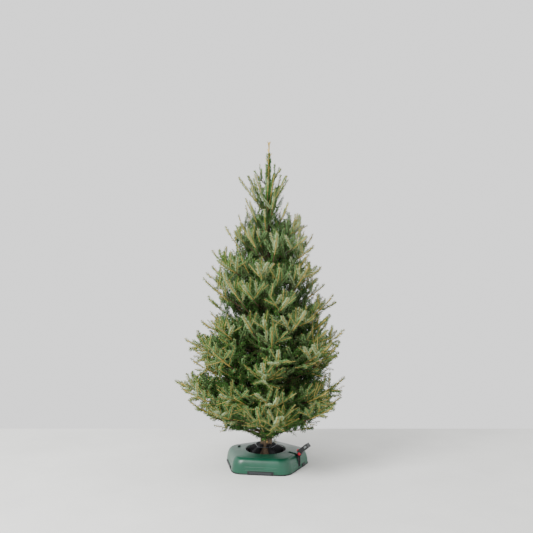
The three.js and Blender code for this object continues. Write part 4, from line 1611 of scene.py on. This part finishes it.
def joined(shapes: list[Shape]) -> tuple[np.ndarray, list[np.ndarray]]:
    """Join the vertices and faces of several shapes, with the faces renumbered."""
    bases = np.cumsum([0] + [len(verts) for verts, _ in shapes])
    return np.concatenate([verts for verts, _ in shapes]), [f + base for (_, f), base in zip(shapes, bases)]


def bevel(piece: bpy.types.Object, width_mm: float, segments: int = 3) -> None:
    """Round a piece's sharp edges with a Bevel modifier."""
    modifier = piece.modifiers.new("rounding", "BEVEL")
    modifier.width = width_mm * MM
    modifier.segments = segments
    modifier.limit_method = "ANGLE"
    modifier.angle_limit = math.radians(32.0)


def add_blocks(
    name: str,
    shapes: list[Shape],
    finish: bpy.types.Material,
    width_mm: float,
    segments: int = 3,
    body: str = TREE_BODY,
) -> None:
    """Add boxes as one piece with rounded edges.

    Args:
        name: the piece's name.
        shapes: the boxes.
        finish: its material.
        width_mm: width of the rounding.
        segments: number of faces across the rounding.
        body: the body that it moves with.
    """
    verts, faces = joined(shapes)
    bevel(add_piece(fill_mesh(name, verts, faces), [finish], body), width_mm, segments)


def rounded_copy(
    node: str, name: str, finish: bpy.types.Material, width_mm: float, body: str = TREE_BODY
) -> None:
    """Make a piece from a solid's own mesh, its corners merged and its edges rounded.

    Args:
        node: the solid.
        name: the piece's name.
        finish: its material.
        width_mm: width of the rounding.
        body: the body that it moves with.
    """
    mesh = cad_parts[node].data.copy()
    mesh.name = name
    mesh.materials.clear()
    shape = bmesh.new()
    shape.from_mesh(mesh)
    bmesh.ops.remove_doubles(shape, verts=shape.verts, dist=2e-5)
    bmesh.ops.dissolve_limit(shape, angle_limit=math.radians(2.0), verts=shape.verts, edges=shape.edges)
    shape.to_mesh(mesh)
    shape.free()
    mesh.normals_split_custom_set([(0.0, 0.0, 0.0)] * len(mesh.loops))
    bevel(add_piece(mesh, [finish], body, [node], smooth_angle=35.0), width_mm)


def cut(piece: bpy.types.Object, tools: list[Shape]) -> None:
    """Cut closed tool shapes out of a piece's mesh.

    Args:
        piece: the piece.
        tools: vertices in millimetres and faces of each tool.
    """
    tool = bpy.data.objects.new("tool", fill_mesh("tool", *joined(tools)))
    bpy.context.scene.collection.objects.link(tool)
    modifier = piece.modifiers.new("cut", "BOOLEAN")
    modifier.operation = "DIFFERENCE"
    modifier.solver = "EXACT"
    modifier.object = tool
    depsgraph = bpy.context.evaluated_depsgraph_get()
    made = bpy.data.meshes.new_from_object(piece.evaluated_get(depsgraph))
    piece.modifiers.clear()
    old, piece.data = piece.data, made
    made.name = old.name
    bpy.data.meshes.remove(old)
    bpy.data.objects.remove(tool)


# ---------------------------------------------------------------- the stand


@dataclass
class StandShape:
    """The stand's pentagon, the angles of its corners and sides, and what its edge carries."""

    apothem: float = 187.0
    corner_radius: float = 62.0
    facing: float = -98.0
    base_height: float = 9.0
    shoulder_z: float = 62.0
    shoulder_apothem: float = 160.0
    top_z: float = 75.0
    top_apothem: float = 146.0
    rim_z: float = 80.0
    rim_radius: float = 104.0
    mouth_radius: float = 99.0
    lip_depth: float = 22.0
    wall: float = 3.5
    gap: float = 0.3
    pedal_azimuth: float = -26.0
    grip_width: float = 126.0
    edge_height: float = 18.0
    edge_depth: float = 20.0
    pad_width: float = 30.0
    pad_aside: float = 46.0

    def corners(self) -> list[float]:
        """Return the azimuths of the five corners, in degrees."""
        return [self.facing - 36.0 + 72.0 * i for i in range(5)]

    def grip_sides(self) -> list[float]:
        """Return the azimuths of the four plain sides, which have a handle each."""
        return [self.facing + 72.0 * turn for turn in (-1, 0, 2, 3)]

    def edge_blocks(self, margin: float) -> list[Shape]:
        """Return the four handle blocks and the pad beside the pedal, larger all round by a margin."""
        middle, height = self.apothem - self.edge_depth / 2.0, self.edge_height + margin
        depth, grip = self.edge_depth + 2.0 * margin, self.grip_width + 2.0 * margin
        handles = [block(middle, height / 2.0, azimuth, (depth, grip, height)) for azimuth in self.grip_sides()]
        pad = (depth, self.pad_width + 2.0 * margin, height)
        return [*handles, block(middle, height / 2.0, self.pedal_azimuth, pad, self.pad_aside)]

    def off_side(self, angle: np.ndarray) -> np.ndarray:
        """Return each angle's distance from the nearest side's normal, in radians."""
        fifth = 2.0 * math.pi / 5.0
        turned_by = angle - math.radians(self.facing)
        return np.abs(turned_by - fifth * np.round(turned_by / fifth))

    def radius(self, angle: np.ndarray, apothem: np.ndarray, corner: np.ndarray) -> np.ndarray:
        """Return the radius of a round-cornered regular pentagon at some angles.

        Along a side it is apothem / cos(off side). At a corner it is the far crossing of the ray with
        the corner's circle, whose centre lies on the corner's bisector.
        """
        half = math.pi / 5.0
        off = self.off_side(angle)
        straight = apothem * np.tan(off) <= (apothem - corner) * math.tan(half)
        centre = (apothem - corner) / math.cos(half)
        lean = half - off
        round_part = centre * np.cos(lean) + np.sqrt(np.maximum(corner**2 - (centre * np.sin(lean)) ** 2, 0.0))
        return np.where(straight, apothem / np.cos(off), round_part)

    def squared(self, angle: np.ndarray, r: np.ndarray) -> np.ndarray:
        """Push a round profile's radius out to the pentagon where it is wider than the rim."""
        squareness = smooth((r - self.rim_radius) / (self.top_apothem - self.rim_radius))
        corner = self.corner_radius * (r / self.apothem)
        wide = self.radius(angle, np.maximum(r, corner + 1.0), corner)
        return r * mix(1.0, wide / np.maximum(r, 1e-6), squareness)


@dataclass
class Cover:
    """The green moulded cover: flared walls, a round shoulder, a flat top and a rolled mouth."""

    shape: StandShape
    around: int = 300
    smooth_angle: float = 50.0
    groove_heights: tuple[float, ...] = (24.0, 31.0, 38.0)
    groove_depth: float = 1.2
    groove_end: float = 27.0
    groove_fade: float = 4.0
    slot_radius: float = 165.0
    slot_depth: float = 78.0
    slot_width: float = 21.0
    slot_floor: float = 14.0
    slot_top: float = 90.0
    cheek_radius: float = 161.0
    cheek_z: float = 36.0
    cheek_size: tuple[float, float, float] = (48.0, 6.0, 56.0)
    cheek_aside: float = 8.2

    def build(self) -> None:
        """Build the cover's shell, its slot for the pedal, and the pedal's housing behind it.

        The shell is a closed profile turned round the axis and pushed out to the pentagon. Each
        groove sinks the sides by a depth times exp(-(z - its height)^2).
        """
        s = self.shape
        bottom = s.base_height - 3.3
        foot = s.apothem - 2.5
        # The flank swells outward between the floor and the shoulder, nearly a quarter ellipse.
        rise = np.linspace(0.0, 1.0, 12) * math.pi / 2.0
        flank = np.stack([
            mix(s.top_apothem, foot, np.cos(rise) ** 0.62),
            mix(bottom, s.top_z - 0.5, np.sin(rise) ** 1.12),
        ], axis=-1)
        outer = resample([
            *map(tuple, flank),
            (s.top_apothem - 12.0, s.top_z + 0.8),
            (s.rim_radius + 5.0, s.rim_z - 1.0),
            (s.rim_radius + 1.0, s.rim_z),
            (s.mouth_radius + 0.2, s.rim_z - 2.0),
            (s.mouth_radius, s.rim_z - s.lip_depth),
        ], 1.6, 6.0)
        inner = resample([
            (s.mouth_radius + s.wall, s.rim_z - s.lip_depth),
            (s.mouth_radius + s.wall, s.rim_z - 5.0),
            (s.top_apothem - 16.0, s.top_z - 4.0),
            (s.shoulder_apothem - 11.0, s.shoulder_z + 1.0),
            (s.shoulder_apothem - 8.0, s.shoulder_z - 10.0),
            (foot - s.wall - 1.0, bottom),
        ], 6.0, 6.0)
        profile = np.concatenate([outer, inner])
        angle = turns(self.around)[:, None]
        r, z = profile[None, :, 0], profile[None, :, 1]
        wide = s.squared(angle, r * np.ones((self.around, 1)))
        on_side = smooth((math.radians(self.groove_end) - s.off_side(angle)) / math.radians(self.groove_fade))
        is_flank = (np.arange(len(profile)) < len(outer) * 0.62)[None]
        groove = sum(np.exp(-((z - height) ** 2)) for height in self.groove_heights)
        wide = wide - self.groove_depth * groove * on_side * is_flank
        walls = grid_faces(self.around, len(profile), True, True)[:, ::-1]
        mesh = fill_mesh("moulded_cover", turned(wide, z), [walls])
        cover = add_piece(
            mesh, [SHELL_PLASTIC.make()], replaced=["stand_cover"], smooth_angle=self.smooth_angle
        )
        size = (self.slot_depth, self.slot_width, self.slot_top - self.slot_floor)
        slot = block(self.slot_radius, (self.slot_floor + self.slot_top) / 2.0, s.pedal_azimuth, size)
        cut(cover, [slot, *s.edge_blocks(s.gap)])
        shade_smooth(cover.data, self.smooth_angle)
        cheeks = [
            block(self.cheek_radius, self.cheek_z, s.pedal_azimuth, self.cheek_size, side * self.cheek_aside)
            for side in (-1.0, 1.0)
        ]
        add_blocks("pedal_housing", cheeks, BLACK_PLASTIC.make(), 1.5)


@dataclass
class Base:
    """The black base: a pentagonal plate, handles in its four plain sides, a pad beside the pedal."""

    shape: StandShape
    around: int = 200
    bar_depth: float = 2.2
    bar_height: float = 10.0
    bar_z: float = 10.0
    bar_short: float = 22.0

    def build(self) -> None:
        """Build the plate as a closed lathe pushed out to the pentagon, then what stands on it."""
        s = self.shape
        # How far inside the sides each point of the edge's profile stands, and its height.
        edge = ((8.0, 0.0), (3.0, 0.0), (1.2, 0.8), (0.3, 2.0), (0.3, 4.6), (1.2, 5.4), (6.0, 5.4), (9.0, s.base_height))
        inset, z = np.array(edge).T
        wide = s.squared(turns(self.around)[:, None], (s.apothem - inset)[None] * np.ones((self.around, 1)))
        mesh = fill_mesh("base_plate", turned(wide, z[None]), turned_faces(self.around, len(z)))
        black = BLACK_PLASTIC.make()
        add_piece(mesh, [black], replaced=["stand_base"], smooth_angle=50.0)
        add_blocks("handles_and_pad", s.edge_blocks(0.0), black, 1.2)
        # A dark grey bar lies across each handle and leaves a black notch free at either end.
        size = (self.bar_depth, s.grip_width - self.bar_short, self.bar_height)
        bars = [block(s.apothem + s.gap, self.bar_z, azimuth, size) for azimuth in s.grip_sides()]
        add_blocks("handle_bars", bars, HANDLE_PLASTIC.make(), 0.9)


@dataclass
class WaterBowl:
    """The black bowl that holds the butt and the water, lathed, with a square rim and ribs."""

    mouth_radius: float = 95.0
    foot_radius: float = 84.0
    top_z: float = 74.0
    floor_z: float = 17.7
    wall: float = 3.0
    underside: float = 12.0
    around: int = 144
    ribs: float = 20.0
    rib_depth: float = 1.2

    def build(self) -> None:
        """Build the bowl: a profile turned round the axis, its inner wall rippled by 20 ribs.

        At the angle a round the axis a rib stands in by its depth times the fourth power of
        cos(20 a), where that is over 0.
        """
        profile = resample([
            (40.0, self.underside),
            (self.foot_radius - 4.0, self.underside),
            (self.foot_radius, self.underside + 5.0),
            (self.mouth_radius, self.top_z),
            (self.mouth_radius - self.wall, self.top_z),
            (self.foot_radius - self.wall, self.floor_z + 4.0),
            (self.foot_radius - self.wall - 4.0, self.floor_z),
            (36.0, self.floor_z),
        ], 2.0, 2.0)
        r, z = profile[None, :, 0], profile[None, :, 1]
        columns = len(profile)
        inner = smooth((np.arange(columns) / columns - 0.55) / 0.05) * smooth((z - 24.0) / 10.0)
        wave = np.maximum(0.0, np.cos(turns(self.around)[:, None] * self.ribs)) ** 4
        verts = turned(r - inner * self.rib_depth * wave, z)
        mesh = fill_mesh("water_bowl_shell", verts, turned_faces(self.around, columns))
        add_piece(mesh, [BLACK_PLASTIC.make()], replaced=["water_bowl"])


@dataclass
class Claws:
    """The five claws, the teeth on their pads, and the wire that draws them in."""

    shape: StandShape
    trunk: TrunkLine
    ring: float = 57.0
    wire_z: float = 96.5
    wire_radius: float = 1.5
    wire_sides: int = 12
    strands: int = 6
    lay: float = 20.0
    pad_top: float = 108.0
    pad_height: float = 16.0
    teeth: int = 3
    tooth_first: float = 3.0
    tooth_step: float = 5.0
    tooth_away: float = 10.2
    tooth_size: tuple[float, float, float] = (2.6, 25.0, 2.2)

    def build(self) -> None:
        """Build the claws from their solids, rounded, then their teeth and the wire."""
        finish = CLAW_PLASTIC.make()
        reach = float(self.trunk.radius(self.pad_top - self.pad_height / 2.0)) + self.tooth_away
        teeth = []
        for number, azimuth in enumerate(self.shape.corners(), start=1):
            rounded_copy(f"claw_{number}", f"claw_arm_{number}", finish, 1.4)
            heights = (self.pad_top - self.tooth_first - self.tooth_step * k for k in range(self.teeth))
            teeth += [block(reach, z, azimuth, self.tooth_size) for z in heights]
        add_blocks("claw_pad_ribs", teeth, finish, 0.6, 2)
        self.build_wire()

    def build_wire(self) -> None:
        """Build the wire: a taut five-sided ring whose section is six strands laid in a helix.

        The radius of the section is r (0.92 + 0.1 cos(6 a - k s)), a the angle round it and s the way
        along, so that the strands turn by one strand in every 20 mm.
        """
        corners = [tuple(radial(math.radians(a), self.ring, self.wire_z)) for a in self.shape.corners()]
        path = resample(corners, 1.0, 4.0, closed=True)
        along = unit(np.roll(path, -1, axis=0) - np.roll(path, 1, axis=0))
        side = np.cross(UP, along)
        a = turns(self.wire_sides)[None]
        s = np.arange(len(path))[:, None] * 2.0 * math.pi / self.lay
        radius = self.wire_radius * (0.92 + 0.1 * np.cos(self.strands * a - s))
        ring = np.cos(a)[..., None] * side[:, None] + np.sin(a)[..., None] * UP
        verts = path[:, None] + radius[..., None] * ring
        mesh = fill_mesh("claw_wire", verts, [grid_faces(len(path), self.wire_sides, True, True)])
        add_piece(mesh, [WIRE.make()], replaced=["claw_cable"], smooth_angle=80.0)


@dataclass
class Pedal:
    """The foot lever with its tread, the red cap on its hub, and the grip cast on the tread."""

    shape: StandShape
    tread_radius: float = 184.0
    tread_z: float = 84.0
    tip_radius: float = 232.0
    tip_z: float = 123.5
    tread_width: float = 34.0
    tread_thickness: float = 21.0
    rows: int = 6
    columns: int = 5
    pitch: float = 6.2
    square: tuple[float, float, float] = (4.6, 4.6, 1.8)
    end_bar: tuple[float, float, float] = (15.0, 1.6, 9.0)
    tab: tuple[float, float, float] = (9.0, 9.0, 5.0)

    def build(self) -> None:
        """Build the lever and the cap from their solids, rounded, and the grip's raised squares."""
        rounded_copy("pedal_lever", "foot_lever", PEDAL_PLASTIC.make(), 1.6, PEDAL_BODY)
        rounded_copy("pedal_cap", "hub_cap", RED_PLASTIC.make(), 1.0, PEDAL_BODY)
        length = math.hypot(self.tip_z - self.tread_z, self.tip_radius - self.tread_radius)
        top = self.tread_thickness / 2.0 + 0.5
        middle = (self.columns - 1) / 2.0
        grip = [
            self.on_tread(length - 9.0 - row * self.pitch, (column - middle) * self.pitch, top, self.square)
            for row in range(self.rows)
            for column in range(self.columns)
        ]
        front = -self.tread_width / 2.0 - 0.2
        grip.append(self.on_tread(length - 13.0, front, 1.0, self.end_bar))
        add_blocks("tread_grip", grip, GRIP_RUBBER.make(), 0.7, 2, PEDAL_BODY)
        tab = self.on_tread(6.0, front + 4.0, top + 1.5, self.tab)
        add_blocks("release_tab", [tab], RED_PLASTIC.make(), 1.2, 3, PEDAL_BODY)

    def on_tread(self, along: float, across: float, above: float, size: tuple[float, float, float]) -> Shape:
        """Place a box in the tread's own directions.

        Args:
            along: distance of its middle from the tread's foot.
            across: distance from the tread's middle line.
            above: distance from the tread's middle plane.
            size: the box's size along, across and above.

        Returns:
            Its eight corners and six quads.
        """
        slope = math.atan2(self.tip_z - self.tread_z, self.tip_radius - self.tread_radius)
        verts, faces = block(0.0, 0.0, 0.0, size)
        x, y, z = (verts + np.array([along, across, above])).T
        r = x * math.cos(slope) - z * math.sin(slope) + self.tread_radius
        height = x * math.sin(slope) + z * math.cos(slope) + self.tread_z
        return swung(np.stack([r, y, height], axis=-1), self.shape.pedal_azimuth), faces


@dataclass
class LevelCap:
    """The oval cap over the water-level float, rounded."""

    rounding: float = 1.6

    def build(self) -> None:
        """Build the cap from its solid."""
        rounded_copy("level_cap", "float_cap", BLACK_PLASTIC.make(), self.rounding)


# ---------------------------------------------------------------- studio


@dataclass
class Studio:
    """Camera, soft daylight from the upper left, a pale floor and an even pale sky, in metres."""

    camera_x: float = 0.0038
    camera_distance: float = 3.715
    camera_height: float = 1.10
    lens: float = 50.0
    film: float = 36.0
    drop: float = -0.0403
    floor_end: float = 0.72
    floor_half: float = 9.0
    aim: tuple[float, float, float] = (0.0, 0.0, 0.6)
    sky: float = 1.42
    # Name, place, power in watts and width of each lamp.
    lamps: tuple[tuple[str, tuple[float, float, float], float, float], ...] = (
        ("window_light", (-2.6, -2.4, 3.4), 320.0, 1.8),
        ("fill_light", (2.4, -3.2, 1.8), 10.0, 2.5),
    )

    def build(self) -> None:
        """Set the camera, the lights and the floor."""
        self.camera()
        self.lights()
        self.floor()

    def camera(self) -> None:
        """Set a level camera in front of the tree, its film dropped to frame the tree's foot."""
        data = bpy.data.cameras.new("camera")
        data.lens = self.lens
        data.sensor_width = self.film
        data.shift_y = self.drop
        data.clip_end = 50.0
        camera = bpy.data.objects.new("camera", data)
        camera.location = (self.camera_x, -self.camera_distance, self.camera_height)
        camera.rotation_euler = (math.pi / 2.0, 0.0, 0.0)
        bpy.context.scene.collection.objects.link(camera)
        bpy.context.scene.camera = camera

    def lights(self) -> None:
        """Set the large soft key, a weak fill, and an even pale sky."""
        for name, place, power, size in self.lamps:
            data = bpy.data.lights.new(name, "AREA")
            data.energy = power
            data.size = size
            lamp = bpy.data.objects.new(name, data)
            lamp.location = place
            aim = np.array(self.aim) - np.array(place)
            yaw = math.atan2(aim[0], -aim[1])
            pitch = math.atan2(math.hypot(aim[0], aim[1]), -aim[2])
            lamp.rotation_euler = (pitch, 0.0, yaw + math.pi)
            bpy.context.scene.collection.objects.link(lamp)
        world = bpy.data.worlds.new("sky")
        world.use_nodes = True
        background = world.node_tree.nodes["Background"]
        background.inputs["Color"].default_value = (1.0, 1.0, 1.0, 1.0)
        background.inputs["Strength"].default_value = self.sky
        bpy.context.scene.world = world

    def floor(self) -> None:
        """Set the floor: it ends behind the tree, where the even sky takes a wall's place."""
        half, far = self.floor_half * METRE, self.floor_end * METRE
        verts = np.array([(-half, -half, 0.0), (half, -half, 0.0), (half, far, 0.0), (-half, far, 0.0)])
        mesh = fill_mesh("floor", verts, [np.array([[0, 1, 2, 3]])])
        mesh.materials.append(FLOOR.make())
        plane = bpy.data.objects.new("floor", mesh)
        bpy.context.scene.collection.objects.link(plane)


def main() -> None:
    """Build the studio, the tree and the stand in order."""
    logging.basicConfig(level=logging.INFO, format="%(name)s: %(message)s")
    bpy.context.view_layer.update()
    Studio().build()
    skeleton = Skeleton()
    skeleton.grow()
    TrunkSkin(skeleton).build()
    LimbSkin(skeleton).build()
    Foliage(skeleton).build()
    shape = StandShape()
    Cover(shape).build()
    Base(shape).build()
    WaterBowl().build()
    Claws(shape, skeleton.trunk).build()
    Pedal(shape).build()
    LevelCap().build()


if __name__ == "__main__":
    main()
